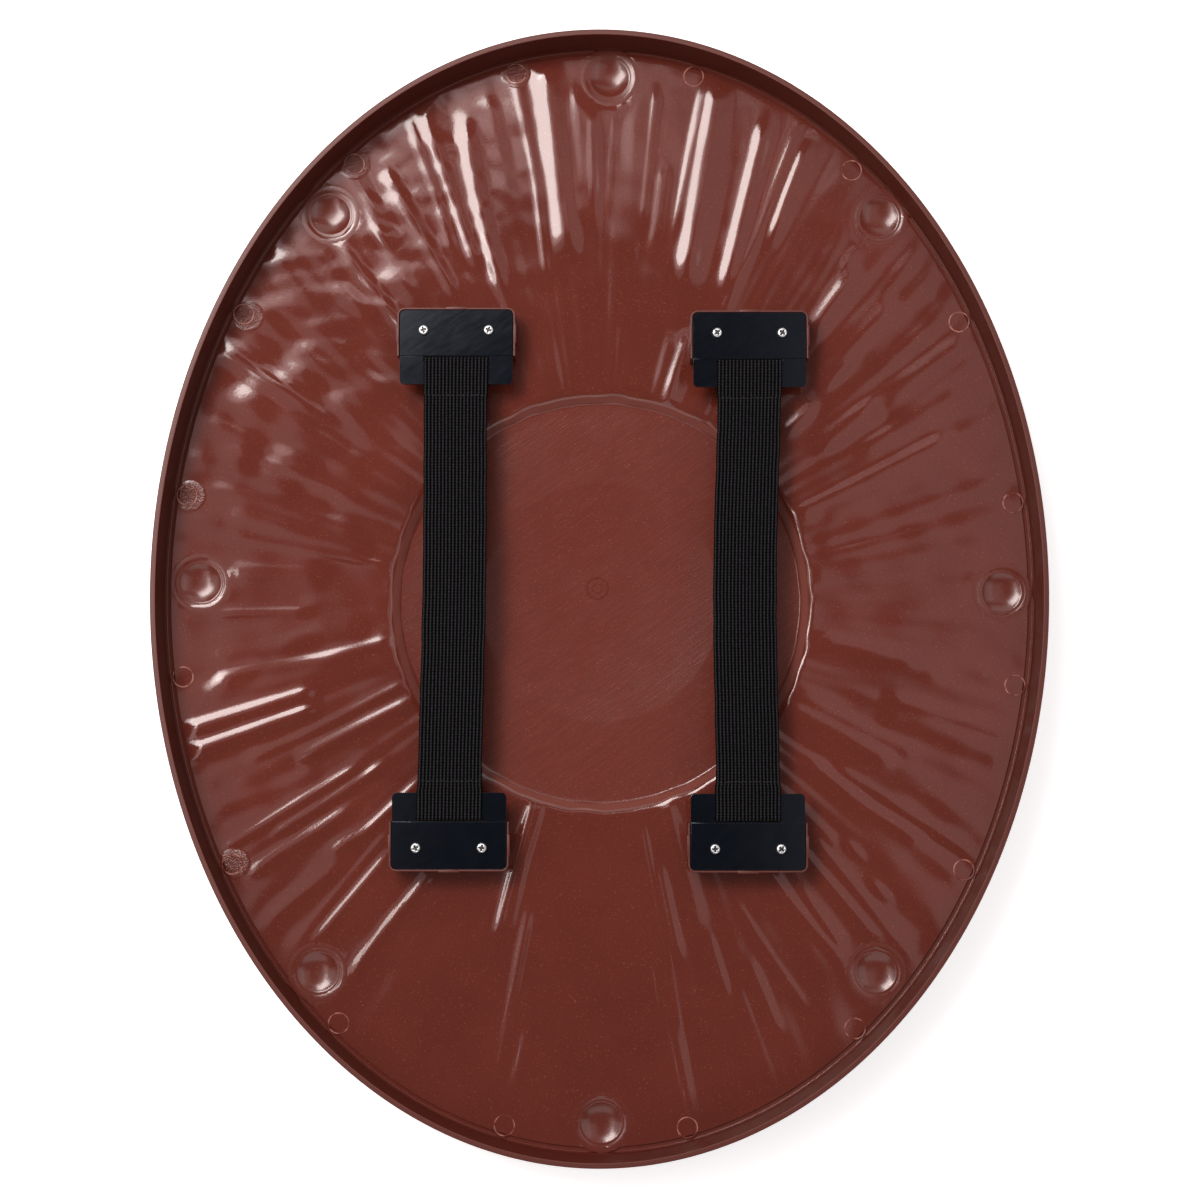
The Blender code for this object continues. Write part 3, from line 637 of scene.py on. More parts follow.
def dish_relief(x, y, scale):
    """Height of the relief on the dish, which fades out at the boss edge and the border."""
    away_x = x - BOSS_X
    away_y = y - BOSS_Y
    radius = np.hypot(away_x, away_y)
    angle = np.arctan2(away_y, away_x)
    rim = rim_radius(angle, 0)
    share = (radius - SHARE_START) / (SHARE_RIM_SCALE * rim - SHARE_START)
    edge = rim_radius(angle, DISH_INSET)
    fade = ease((radius - BOSS_RADIUS) / BOSS_FADE) * ease((edge - radius) / BORDER_FADE)
    lumpy = nearness(angle, LUMPY_ANGLE, LUMPY_SPREAD)
    lumps = 1 + LUMPY_GAIN * lumpy * ease((share - LUMPY_START) / LUMPY_RISE)
    relief = ridge_heights(angle, radius, share) - dent_depths(x, y) + waviness(x, y) * lumps
    relief += fluting(angle, radius, share) + cross_waves(x, y, angle, share)
    for stud in STUDS:
        place = spot_place(stud)
        fade *= ease((np.hypot(x - place.x, y - place.y) - STUD_FLANGE_RADIUS) / STUD_FADE)
    return scale * relief * fade


def dish_height(share):
    """Height of the dish's back, without its relief, at a share of the way across."""
    return BOSS_EDGE_Z + DISH_DEPTH * share**DISH_CURVE


def dome_height(radius):
    """Height of the boss dome's front, flat where it rests."""
    rise = (radius**2 - REST_FLAT_RADIUS**2) / (DOME_RADIUS**2 - REST_FLAT_RADIUS**2)
    return DOME_DEPTH * max(rise, 0)


def dish_back_z(x, y, scale):
    """Height of the dish's back, with its relief."""
    away_x = x - BOSS_X
    away_y = y - BOSS_Y
    radius = np.hypot(away_x, away_y)
    edge = rim_radius(np.arctan2(away_y, away_x), DISH_INSET)
    across = np.clip((radius - BOSS_RADIUS) / (edge - BOSS_RADIUS), 0, 1)
    return dish_height(across) + dish_relief(x, y, scale)


def spot_place(spot):
    """The place of a stud or a pin mark."""
    turn = math.radians(spot.angle)
    outward = Vector((HALF_LENGTH * math.cos(turn), HALF_WIDTH * math.sin(turn))).normalized()
    return Vector((HALF_WIDTH * math.cos(turn), HALF_LENGTH * math.sin(turn))) - outward * spot.inset


def soft_corners(points, steps=4):
    """Rounds each (radius, height, corner) point of a section by its corner length."""
    out = []
    for index, (radius, height, corner) in enumerate(points):
        here = Vector((radius, height))
        if corner == 0:
            out.append(here)
            continue
        before = (Vector(points[index - 1][:2]) - here).normalized() * corner
        after = (Vector(points[index + 1][:2]) - here).normalized() * corner
        for step in range(steps + 1):
            share = step / steps
            out.append(here + before * (1 - share)**2 + after * share**2)
    return out


def filled(points, spacing):
    """Adds points so that no gap in a section is longer than a spacing."""
    out = [points[0]]
    for start, end in zip(points, points[1:]):
        count = max(1, math.ceil((end - start).length / spacing))
        out += [start.lerp(end, step / count) for step in range(1, count + 1)]
    return out


def back_section():
    """Section of the back from the middle to the edge of the dish."""
    dome = []
    for share in (0, 0.12, 0.22, 0.30, 0.38, 0.46, 0.54, 0.62, 0.70, 0.78, 0.86, 0.93, 0.98):
        radius = DOME_RADIUS * share
        dome.append((radius, WALL + dome_height(radius), 0))
    points = dome + [
        (DOME_RADIUS, WALL + DOME_DEPTH, 0.0006),
        (BOSS_FLOOR_EDGE, BOSS_FLOOR_Z, 0.0010),
        (BOSS_RADIUS, BOSS_EDGE_Z, 0.0026),
    ]
    shares = [0.02 + 0.98 * step / 40 for step in range(41)]
    dish = [(BOSS_RADIUS + share * DISH_RUN, dish_height(share), 0) for share in shares]
    return filled(soft_corners(points + dish), 0.006)


def shell_section():
    """The closed half section, from the middle of the back round the rim to the front."""
    back = back_section()
    rim = soft_corners([
        (HALF_WIDTH - DISH_INSET, DISH_EDGE_Z, 0),
        (HALF_WIDTH - DISH_INSET, GROOVE_Z, 0.0003),
        (HALF_WIDTH - WALL_BASE_INSET, GROOVE_Z, 0.0006),
        (HALF_WIDTH - RIM_EDGE, RIM_TOP_Z, 0.0005),
        (HALF_WIDTH, RIM_TOP_Z, 0.0005),
        (HALF_WIDTH, GROOVE_Z - WALL, RIM_CORNER),
        (HALF_WIDTH - DISH_INSET - WALL, GROOVE_Z - WALL, 0),
    ])
    border_inner = HALF_WIDTH - DISH_INSET - WALL
    front = [Vector((border_inner, DISH_EDGE_Z - WALL))]
    for share in (0.93, 0.84, 0.75, 0.66, 0.57, 0.48, 0.39, 0.30, 0.21, 0.12, 0.06):
        front.append(Vector((BOSS_RADIUS + share * DISH_RUN, dish_height(share) - WALL)))
    front += soft_corners([
        (BOSS_RADIUS + 0.0040, BOSS_EDGE_Z - WALL, 0),
        (BOSS_RADIUS + WALL / 2, BOSS_EDGE_Z - WALL, 0.0014),
        (BOSS_FLOOR_EDGE + WALL / 2, BOSS_FLOOR_Z - WALL, 0.0014),
        (0.090, 0.5 * (DOME_DEPTH + BOSS_FLOOR_Z - WALL), 0),
        (DOME_RADIUS, DOME_DEPTH, 0.0010),
        (0.050, dome_height(0.050), 0),
    ], 2)
    for radius in (0.036, REST_FLAT_RADIUS, 0.010, 0.0):
        front.append(Vector((radius, dome_height(radius))))
    return back + rim[1:] + front


def spun(profile, steps):
    """A bmesh turned once about Z from the points of a section."""
    built = bmesh.new()
    verts = [built.verts.new((point[0], 0, point[1])) for point in profile]
    edges = [built.edges.new(pair) for pair in zip(verts, verts[1:])]
    bmesh.ops.spin(
        built, geom=verts + edges, cent=(0, 0, 0), axis=(0, 0, 1),
        angle=math.tau, steps=steps, use_merge=True,
    )
    return built


def turned_grid(profile, steps):
    """A grid rolled up once about Z, with a row for each point of a section."""
    rows = len(profile) - 1
    built = bmesh.new()
    bmesh.ops.create_grid(built, x_segments=steps, y_segments=rows, size=0.5)
    mesh = bpy.data.meshes.new("turned_grid")
    built.to_mesh(mesh)
    built.free()
    points = read_points(mesh)
    turn = np.round((points[:, 0] + 0.5) * steps) % steps * (math.tau / steps)
    section = np.array([tuple(point) for point in profile])
    radius, height = section[np.round((points[:, 1] + 0.5) * rows).astype(int)].T
    write_points(mesh, np.stack([radius * np.cos(turn), radius * np.sin(turn), height], axis=1))
    built = bmesh.new()
    built.from_mesh(mesh)
    bpy.data.meshes.remove(mesh)
    return built


def stretch_shell(mesh, scale):
    """Draws the turned shell out to the oval and raises the relief on both faces."""
    points = read_points(mesh)
    section = np.hypot(points[:, 0], points[:, 1])
    angle = spoke_angle(np.arctan2(points[:, 1], points[:, 0]))
    inset = HALF_WIDTH - section
    edge = rim_radius(angle, DISH_INSET)
    share = (section - BOSS_RADIUS) / DISH_RUN
    border = rim_radius(angle, np.minimum(inset, DISH_INSET))
    reach = np.where(inset < DISH_INSET, border, BOSS_RADIUS + share * (edge - BOSS_RADIUS))
    reach = np.where(section <= BOSS_RADIUS, section, reach) + step_wobble(angle, section)
    x = BOSS_X + reach * np.cos(angle)
    y = BOSS_Y + reach * np.sin(angle)
    in_dish = (section > BOSS_RADIUS) & (inset > DISH_INSET)
    is_back = points[:, 2] > dish_height(np.clip(share, 0, 1)) - WALL / 2
    relief = dish_relief(x, y, scale) * np.where(is_back, 1.0, FRONT_RELIEF)
    z = points[:, 2] + np.where(in_dish, relief, 0)
    for stud in STUDS:
        place = spot_place(stud)
        away = np.hypot(x - place.x, y - place.y)
        under = in_dish & (away < STUD_RING_RADIUS - 0.0005)
        hollow = np.clip(1 - (away / STUD_BOWL_RADIUS)**STUD_BOWL_POWER, 0, 1)
        bowl = STUD_BOWL_DEPTH * hollow + STUD_RING_DEPTH
        thinned = np.where(is_back, -SHELL_THINNING, SHELL_THINNING)
        z = np.where(under, z - bowl + thinned, z)
    write_points(mesh, np.stack([x, y, z], axis=1))


def make_shell_mesh(settings):
    """The whole moulded shell as one closed mesh."""
    built = turned_grid(shell_section(), settings.steps)
    mesh = finish_mesh("shell_moulding", built, 180)
    stretch_shell(mesh, settings.relief)
    mesh.set_sharp_from_angle(angle=math.radians(40))
    return mesh


def conform(mesh, place, scale):
    """Lays a mesh that is turned about Z on the back of the dish at a place."""
    points = read_points(mesh)
    points[:, 0] += place.x
    points[:, 1] += place.y
    points[:, 2] += dish_back_z(points[:, 0], points[:, 1], scale)
    write_points(mesh, points)


def join_meshes(name, meshes):
    """One mesh from several, which are then removed."""
    built = bmesh.new()
    for mesh in meshes:
        built.from_mesh(mesh)
        bpy.data.meshes.remove(mesh)
    joined = bpy.data.meshes.new(name)
    built.to_mesh(joined)
    built.free()
    joined.set_sharp_from_angle(angle=math.radians(35))
    return joined


def stud_section():
    """Closed section of a stud: bowl, ring and flange at the back, dome on the front."""
    ring_z = -STUD_RING_DEPTH
    bowl = []
    for step in range(STUD_BOWL_ROWS + 1):
        share = step / STUD_BOWL_ROWS
        depth = STUD_BOWL_DEPTH * (1 - share**STUD_BOWL_POWER)
        bowl.append((STUD_BOWL_RADIUS * share, ring_z - depth, 0))
    bowl[-1] = (STUD_BOWL_RADIUS, ring_z, 0.0005)
    points = bowl + [
        (STUD_RING_RADIUS - 0.0007, ring_z, 0.0005),
        (STUD_RING_RADIUS + 0.0002, 0, 0.0009),
        (STUD_FLANGE_RADIUS - 0.001, 0.00002, 0),
        (STUD_FLANGE_RADIUS, 0.00001, 0),
        (STUD_FLANGE_RADIUS, -WALL - 0.00001, 0),
        (STUD_RING_RADIUS + WALL / 2, -WALL - 0.00004, 0.0006),
    ]
    for step in range(STUD_DOME_ROWS, -1, -1):
        share = step / STUD_DOME_ROWS
        reach = STUD_RING_RADIUS * 0.97 * share
        points.append((reach, ring_z - WALL - STUD_BOWL_DEPTH * (1 - share**2), 0))
    return soft_corners(points, 3)


def make_studs(scale):
    """Eight hollow studs that stand through the dish."""
    meshes = []
    for stud in STUDS:
        mesh = finish_mesh("stud", spun(stud_section(), 72))
        conform(mesh, spot_place(stud), scale)
        meshes.append(mesh)
    return join_meshes("stud_hollows", meshes)


def ring_mesh(radius, line, steps=48):
    """A thin ring lying flat, half sunk."""
    profile = []
    for step in range(7):
        turn = math.tau * step / 6
        profile.append((radius + line * math.cos(turn), line * RING_FLATNESS * math.sin(turn)))
    return finish_mesh("ring", spun(profile, steps))


def make_pin_marks(scale):
    """The raised rings that ejector pins leave round the border."""
    meshes = []
    for angle in PIN_MARK_ANGLES:
        mesh = ring_mesh(PIN_MARK_RADIUS, PIN_MARK_LINE)
        conform(mesh, spot_place(Spot(angle, PIN_MARK_INSET)), scale)
        meshes.append(mesh)
    return join_meshes("pin_marks", meshes)


def make_gate_mark():
    """The two rings that the gate of the mould leaves near the middle of the boss."""
    meshes = [ring_mesh(GATE_RADIUS, GATE_LINE), ring_mesh(GATE_INNER_RADIUS, PIN_MARK_LINE)]
    for mesh in meshes:
        write_points(mesh, read_points(mesh) + np.array([GATE_X, GATE_Y, WALL]))
    return join_meshes("gate_mark", meshes)


def along(anchor, distance):
    """The Y of a distance inward from an anchor's step line."""
    return anchor.step_y + anchor.inward * distance


def unit_grid(columns, rows):
    """A flat grid from -0.5 to 0.5, with the column and row of each of its vertices."""
    built = bmesh.new()
    bmesh.ops.create_grid(built, x_segments=columns, y_segments=rows, size=0.5)
    places = [
        (vert, round((vert.co.x + 0.5) * columns), round((vert.co.y + 0.5) * rows))
        for vert in built.verts
    ]
    return built, places


def cell_sheet(x_breaks, y_breaks, z):
    """A flat grid of cells whose lines stand at the given places."""
    built, places = unit_grid(len(x_breaks) - 1, len(y_breaks) - 1)
    for vert, column, row in places:
        vert.co = (x_breaks[column], y_breaks[row], z)
    return built


def raise_faces(built, faces, height):
    """Extrudes faces straight up or down and gives the new ones back."""
    made = bmesh.ops.extrude_face_region(built, geom=faces)["geom"]
    verts = [item for item in made if isinstance(item, bmesh.types.BMVert)]
    bmesh.ops.translate(built, verts=verts, vec=(0, 0, height))
    return [item for item in made if isinstance(item, bmesh.types.BMFace)]


def bevel_edges(built, edges, offset, segments):
    """Rounds edges of a bmesh."""
    bmesh.ops.bevel(
        built, geom=edges, offset=offset, offset_type="OFFSET", segments=segments,
        profile=0.5, affect="EDGES", material=-1, clamp_overlap=True,
    )


def upright_edges(built, places, reach=1e-5):
    """Upright edges that stand at any of some places."""
    found = []
    for edge in built.edges:
        low, high = (vert.co for vert in edge.verts)
        if abs(low.z - high.z) < reach or (low.xy - high.xy).length > reach:
            continue
        if any((low.xy - Vector(place)).length < reach for place in places):
            found.append(edge)
    return found


def sharp_edges(built, least):
    """Edges where two faces meet at more than an angle."""
    limit = math.radians(least)
    return [
        edge for edge in built.edges
        if len(edge.link_faces) == 2 and edge.calc_face_angle(0) > limit
    ]


def wall_path(anchor, inset):
    """Places round three sides of a block, a given inset inside its outer face."""
    grown = PLATE_SIDE_CLEARANCE + BLOCK_WALL - inset
    half = PLATE_WIDTH / 2 + grown
    corner = PLATE_CORNER + grown
    end = -PLATE_SEAT_DEPTH - grown + corner
    steps = range(BLOCK_CORNER_STEPS + 1)
    turns = [math.radians(90 * step / BLOCK_CORNER_STEPS) for step in steps]
    bends = [(half - corner + corner * math.cos(t), end - corner * math.sin(t)) for t in turns]
    right = [(half, 0)] + bends
    left = [(-x, y) for x, y in reversed(right)]
    return [(anchor.x + x, along(anchor, y)) for x, y in right + left]


def make_block_mesh(anchor, scale):
    """One moulded block: a seat with a thin wall round the plate on three sides."""
    near = BLOCK_EDGE * 0.3
    levels = (
        (0, BOSS_EDGE_Z),
        (0, BLOCK_WALL_TOP_Z - BLOCK_EDGE),
        (near, BLOCK_WALL_TOP_Z - near),
        (BLOCK_EDGE, BLOCK_WALL_TOP_Z),
        (BLOCK_WALL - BLOCK_EDGE, BLOCK_WALL_TOP_Z),
        (BLOCK_WALL - near, BLOCK_WALL_TOP_Z - near),
        (BLOCK_WALL, BLOCK_WALL_TOP_Z - BLOCK_EDGE),
        (BLOCK_WALL, BLOCK_TOP_Z),
    )
    paths = [wall_path(anchor, inset) for inset, _ in levels]
    columns = len(paths[0]) - 1
    rows = len(levels) - 1
    built, places = unit_grid(columns, rows)
    ends = {}
    for vert, column, row in places:
        vert.co = (*paths[row][column], levels[row][1])
        if row in (0, rows) and column in (0, columns):
            ends.setdefault(row, []).append(vert)
    for pair in ends.values():
        bmesh.ops.contextual_create(built, geom=pair)
    open_edges = [edge for edge in built.edges if len(edge.link_faces) < 2]
    bmesh.ops.holes_fill(built, edges=open_edges, sides=0)
    bmesh.ops.recalc_face_normals(built, faces=built.faces)
    mesh = finish_mesh(f"block_{anchor.name}", built)
    points = read_points(mesh)
    foot = dish_back_z(points[:, 0], points[:, 1], scale) - WALL / 2
    points[:, 2] = np.where(points[:, 2] < BOSS_EDGE_Z + 1e-5, foot, points[:, 2])
    write_points(mesh, points)
    return keep_flat(mesh)


def block_box(name, low, high, corner):
    """A small box with rounded edges between two corners."""
    built = bmesh.new()
    bmesh.ops.create_cube(built, size=1.0)
    size = Vector(high) - Vector(low)
    bmesh.ops.scale(built, vec=size, verts=built.verts)
    bmesh.ops.translate(built, vec=(Vector(low) + Vector(high)) / 2, verts=built.verts)
    bevel_edges(built, list(built.edges), corner, 2)
    return finish_mesh(name, built)


def make_tabs(anchor):
    """The three thicker lengths of a block's wall, at the middle of each outer side."""
    side = PLATE_WIDTH / 2 + PLATE_SIDE_CLEARANCE + BLOCK_WALL
    end = -PLATE_SEAT_DEPTH - PLATE_SIDE_CLEARANCE - BLOCK_WALL
    half = TAB_LENGTH / 2
    top = BLOCK_WALL_TOP_Z + TAB_RISE
    middle = along(anchor, -PLATE_SEAT_DEPTH / 2)
    ends = sorted((along(anchor, end - TAB_THICKNESS), along(anchor, end + BLOCK_WALL)))
    sides = (middle - half, middle + half)
    left = anchor.x - side
    right = anchor.x + side
    spans = (
        ((anchor.x - half, anchor.x + half), ends),
        ((left - TAB_THICKNESS, left + BLOCK_WALL), sides),
        ((right - BLOCK_WALL, right + TAB_THICKNESS), sides),
    )
    return [
        block_box("tab", (xs[0], ys[0], top - TAB_DEPTH), (xs[1], ys[1], top), TAB_EDGE)
        for xs, ys in spans
    ]


def make_plate_mesh(anchor, strap_width):
    """An anchor plate: screwed part, step down to the lip, and the slot for the strap."""
    half = PLATE_WIDTH / 2
    slot = strap_width / 2 + SLOT_SIDE_CLEARANCE
    x_breaks = [anchor.x + offset for offset in (-half, -slot, slot, half)]
    stops = (-PLATE_SEAT_DEPTH, 0, PIECE_GAP, LIP_BAR_START, PLATE_LIP_DEPTH)
    y_breaks = sorted(along(anchor, stop) for stop in stops)
    built = cell_sheet(x_breaks, y_breaks, PLATE_UNDER_Z)
    slot_middle = Vector((anchor.x, along(anchor, (PIECE_GAP + LIP_BAR_START) / 2)))
    slot_cell = [f for f in built.faces if (f.calc_center_median().xy - slot_middle).length < 1e-5]
    bmesh.ops.delete(built, geom=slot_cell, context="FACES")
    cells = list(built.faces)
    tops = raise_faces(built, cells, PLATE_LIP_THICKNESS)
    seat = [f for f in tops if (f.calc_center_median().y - anchor.step_y) * anchor.inward < 0]
    raise_faces(built, seat, PLATE_THICKNESS - PLATE_LIP_THICKNESS)
    bmesh.ops.delete(built, geom=seat, context="FACES_ONLY")
    bmesh.ops.recalc_face_normals(built, faces=built.faces)
    ends = (along(anchor, -PLATE_SEAT_DEPTH), along(anchor, PLATE_LIP_DEPTH))
    corners = [(anchor.x + side, end) for side in (-half, half) for end in ends]
    bevel_edges(built, upright_edges(built, corners), PLATE_CORNER, 6)
    bevel_edges(built, sharp_edges(built, 60), PLATE_EDGE, 2)
    return keep_flat(finish_mesh(f"plate_{anchor.name}", built))


def screw_spots(anchor):
    """Name and place of the two screws of an anchor plate."""
    y = along(anchor, -SCREW_FROM_STEP)
    return [
        (f"{anchor.name}_west", anchor.x - SCREW_PITCH / 2, y),
        (f"{anchor.name}_east", anchor.x + SCREW_PITCH / 2, y),
    ]


def make_screw_mesh(name, x, y, turn):
    """A pan-head screw with a cross recess, its shank in the plate."""
    shank_end = PLATE_UNDER_Z - PLATE_TOP_Z - PIECE_GAP - SCREW_SHANK_LENGTH
    profile = [(0, shank_end, 0), (SCREW_SHANK_RADIUS, shank_end, 0), (SCREW_SHANK_RADIUS, 0, 0)]
    profile += [(SCREW_HEAD_RADIUS, 0, 0.0002), (SCREW_HEAD_RADIUS, SCREW_HEAD_SIDE, 0)]
    crown = SCREW_HEAD_HEIGHT - SCREW_HEAD_SIDE
    for step in range(1, SCREW_HEAD_ROWS + 1):
        share = 1 - step / SCREW_HEAD_ROWS
        height = SCREW_HEAD_SIDE + crown * math.sqrt(1 - share**5)
        profile.append((SCREW_HEAD_RADIUS * share, height, 0))
    mesh = finish_mesh(name, spun(soft_corners(profile, 3), 48))
    points = read_points(mesh)
    spin = math.radians(turn)
    across = points[:, 0] * math.cos(spin) + points[:, 1] * math.sin(spin)
    down = -points[:, 0] * math.sin(spin) + points[:, 1] * math.cos(spin)
    wing = np.minimum(np.abs(across), np.abs(down))
    reach = np.maximum(np.abs(across), np.abs(down))
    cut = ease((RECESS_HALF_WIDTH - wing) / RECESS_SLOPE) * ease((RECESS_REACH - reach) / RECESS_END)
    bowl = ease((RECESS_BOWL_RADIUS - np.hypot(across, down)) / RECESS_BOWL_SLOPE)
    on_top = points[:, 2] > SCREW_HEAD_SIDE
    sunk = np.where(on_top, np.maximum(cut, bowl), 0)
    # The recess weight is kept; the zinc finish paints shade into the recess with it.
    mesh.attributes.new("recess", "FLOAT", "POINT").data.foreach_set("value", sunk)
    points[:, 2] -= RECESS_DEPTH * sunk
    points += np.array([x, y, PLATE_TOP_Z + PIECE_GAP])
    write_points(mesh, points)
    return mesh


def bend(centre, radius, start, end, steps=7):
    """Points of an arc, angles in degrees from the inward direction towards up."""
    points = []
    for step in range(steps + 1):
        turn = math.radians(start + (end - start) * step / steps)
        inward = centre[0] + radius * math.cos(turn)
        height = centre[1] + radius * math.sin(turn)
        points.append(Vector((inward, height)))
    return points


def fold_points():
    """The folded end of a strap, from its tail round the lip bar to the top of the lip."""
    reach = PIECE_GAP + STRAP_THICKNESS / 2
    run_z = PLATE_LIP_THICKNESS + reach
    tail_z = run_z - STRAP_THICKNESS - PIECE_GAP
    rise_start = PLATE_LIP_DEPTH + STRAP_THICKNESS / 2
    rise_end = rise_start + 3 * STRAP_THICKNESS
    points = [Vector((PLATE_LIP_DEPTH + STRAP_TAIL, tail_z)), Vector((rise_end, tail_z))]
    points += [Vector((rise_start, -reach))]
    points += bend((LIP_BAR_START, 0), reach, 270, 180)
    points += bend((LIP_BAR_START, PLATE_LIP_THICKNESS), reach, 180, 90)
    points.append(Vector((PLATE_LIP_DEPTH + STRAP_THICKNESS, run_z)))
    return filled(points, 0.0014)


def strap_line(strap):
    """Points and sideways places down the middle of a strap, from its upper to its lower tail."""
    places = {anchor.name: anchor for anchor in ANCHORS}
    upper = places[strap.upper]
    lower = places[strap.lower]
    fold = fold_points()
    path = [Vector((along(upper, inward), PLATE_UNDER_Z + z)) for inward, z in fold]
    back = [Vector((along(lower, inward), PLATE_UNDER_Z + z)) for inward, z in reversed(fold)]
    run = filled([path[-1], back[0]], 0.0018)
    line = path + run[1:-1] + back
    points = []
    for y, z in line:
        share = (upper.step_y - y) / (upper.step_y - lower.step_y)
        held = min(max(share, 0.0), 1.0)
        x = upper.x + (lower.x - upper.x) * share + strap.bow * math.sin(math.pi * held)**2
        points.append(Vector((x, y, z)))
    stitches = [along(anchor, PLATE_LIP_DEPTH + STITCH_FROM_LIP) for anchor in (upper, lower)]
    return points, stitches


def make_strap_mesh(strap, width, ribs, rib_height):
    """A ribbed elastic strap: a grid laid down its line, then thickened to a closed band."""
    line, stitches = strap_line(strap)
    rows = len(line) - 1
    built, places = unit_grid(ribs * COLUMNS_TO_A_RIB, rows)
    vert_rows = [row for _, _, row in places]
    # The rib crest height is kept; the elastic's finish paints light on the crests and shade in the
    # grooves with it.
    crest = built.verts.layers.float.new("rib")
    dice = np.random.RandomState(5 if strap.name == "left" else 9)
    ripple = [(dice.uniform(0.02, 0.06), dice.uniform(0, math.tau)) for _ in range(4)]
    for vert, row in zip(built.verts, vert_rows):
        across = vert.co.x
        here = line[row]
        way = (line[min(row + 1, rows)] - line[max(row - 1, 0)]).normalized()
        up = Vector((1, 0, 0)).cross(way) * -1
        if up.length < 1e-6:
            up = Vector((0, 0, 1))
        up = up.normalized()
        near = min(abs(here.y - stitch) for stitch in stitches)
        doubled = 1.0 if abs(here.y) > abs(stitches[0]) else 0.0
        drift = sum(math.sin(math.tau * here.y / wave + phase) for wave, phase in ripple)
        wide = width * (STRAP_NARROWING + STRAP_DOUBLED_GAIN * doubled) + STRAP_EDGE_WANDER * drift
        rib = abs(math.sin(math.pi * (across + 0.5) * ribs))
        pinch = math.exp(-(near / PINCH_REACH)**2)
        lift = rib_height * (rib - 1) - PINCH_DEPTH * pinch
        vert[crest] = rib
        vert.co = here + Vector((across * wide, 0, 0)) + up * (STRAP_THICKNESS / 2 + lift)
    bmesh.ops.recalc_face_normals(built, faces=built.faces)
    top = max(built.faces, key=lambda face: face.calc_center_median().z)
    side = 1 if top.normal.z > 0 else -1
    thickness = (STRAP_THICKNESS - rib_height) * side
    bmesh.ops.solidify(built, geom=list(built.faces), thickness=thickness)
    return finish_mesh(f"strap_{strap.name}", built, 60)


def make_stitches(strap, width):
    """Short thread stitches across a strap, where each folded end is sewn down."""
    line, stitches = strap_line(strap)
    dice = np.random.RandomState(3 if strap.name == "left" else 4)
    meshes = []
    top = PLATE_UNDER_Z + PLATE_LIP_THICKNESS + PIECE_GAP + STRAP_THICKNESS
    pitch = (width - 2 * STITCH_MARGIN) / STITCHES_ACROSS
    size = (pitch * STITCH_LENGTH_SHARE, STITCH_HALF_WIDTH, STITCH_HALF_HEIGHT)
    for stitch in stitches:
        middle = min(line, key=lambda point: abs(point.y - stitch) - point.z)
        for index in range(STITCHES_ACROSS):
            x = middle.x - width / 2 + STITCH_MARGIN + pitch * (index + 0.5)
            built = bmesh.new()
            bmesh.ops.create_uvsphere(built, u_segments=8, v_segments=6, radius=1.0)
            bmesh.ops.scale(built, vec=size, verts=built.verts)
            lean = Matrix.Rotation(dice.uniform(-STITCH_LEAN, STITCH_LEAN), 3, "Z")
            bmesh.ops.rotate(built, verts=built.verts, cent=(0, 0, 0), matrix=lean)
            scatter = dice.uniform(-STITCH_SCATTER, STITCH_SCATTER)
            place = (x, stitch + scatter, top - STITCH_SINK)
            bmesh.ops.translate(built, verts=built.verts, vec=place)
            meshes.append(finish_mesh("stitch", built))
    return join_meshes(f"stitches_{strap.name}", meshes)


class Graph:
    """Adds nodes to a material and links them in one call each."""

    def __init__(self, name):
        self.material = bpy.data.materials.new(name)
        self.material.use_nodes = True
        self.tree = self.material.node_tree
        self.shader = self.tree.nodes["Principled BSDF"]
        self.place = self.node("ShaderNodeTexCoord").outputs["Object"]

    def node(self, kind, inputs=None, **settings):
        """Makes a node; an input is a value, or the output that feeds it."""
        made = self.tree.nodes.new(kind)
        for key, value in settings.items():
            setattr(made, key, value)
        for key, value in (inputs or {}).items():
            self.feed(made.inputs[key], value)
        return made

    def feed(self, socket, value):
        """Sets a socket, or links an output to it."""
        if isinstance(value, bpy.types.NodeSocket):
            self.tree.links.new(value, socket)
        else:
            socket.default_value = value

    def finish(self, **inputs):
        """Sets or links inputs of the shader, named with underscores, and gives the material."""
        for key, value in inputs.items():
            self.feed(self.shader.inputs[key.replace("_", " ")], value)
        return self.material

    def noise(self, scale, detail=2.0, place=None, roughness=0.5):
        """A noise pattern on the piece's own coordinates."""
        made = self.node("ShaderNodeTexNoise", {
            "Vector": place or self.place, "Scale": scale, "Detail": detail, "Roughness": roughness,
        })
        return made.outputs["Fac"]

    def spread(self, value, low, high, to_low=0.0, to_high=1.0):
        """Maps a value from one range to another, held at its ends."""
        made = self.node("ShaderNodeMapRange", {
            "Value": value, "From Min": low, "From Max": high, "To Min": to_low, "To Max": to_high,
        })
        return made.outputs["Result"]

    def maths(self, operation, first, second=0.0):
        """One sum on two values."""
        made = self.node("ShaderNodeMath", operation=operation)
        self.feed(made.inputs[0], first)
        self.feed(made.inputs[1], second)
        return made.outputs[0]

    def mixed(self, amount, first, second):
        """A colour between two colours."""
        made = self.node("ShaderNodeMix", data_type="RGBA")
        self.feed(made.inputs[0], amount)
        self.feed(made.inputs[6], first)
        self.feed(made.inputs[7], second)
        return made.outputs[2]

    def stretched(self, scale, turn=0.0):
        """The piece's coordinates scaled unevenly, and turned about Z."""
        made = self.node("ShaderNodeMapping", {
            "Vector": self.place, "Scale": [1 / part for part in scale], "Rotation": (0, 0, turn),
        }, vector_type="TEXTURE")
        return made.outputs["Vector"]

    def bump(self, height, distance, strength=1.0, before=None):
        """Relief in the shading alone."""
        inputs = {"Height": height, "Distance": distance, "Strength": strength}
        if before is not None:
            inputs["Normal"] = before
        return self.node("ShaderNodeBump", inputs).outputs["Normal"]


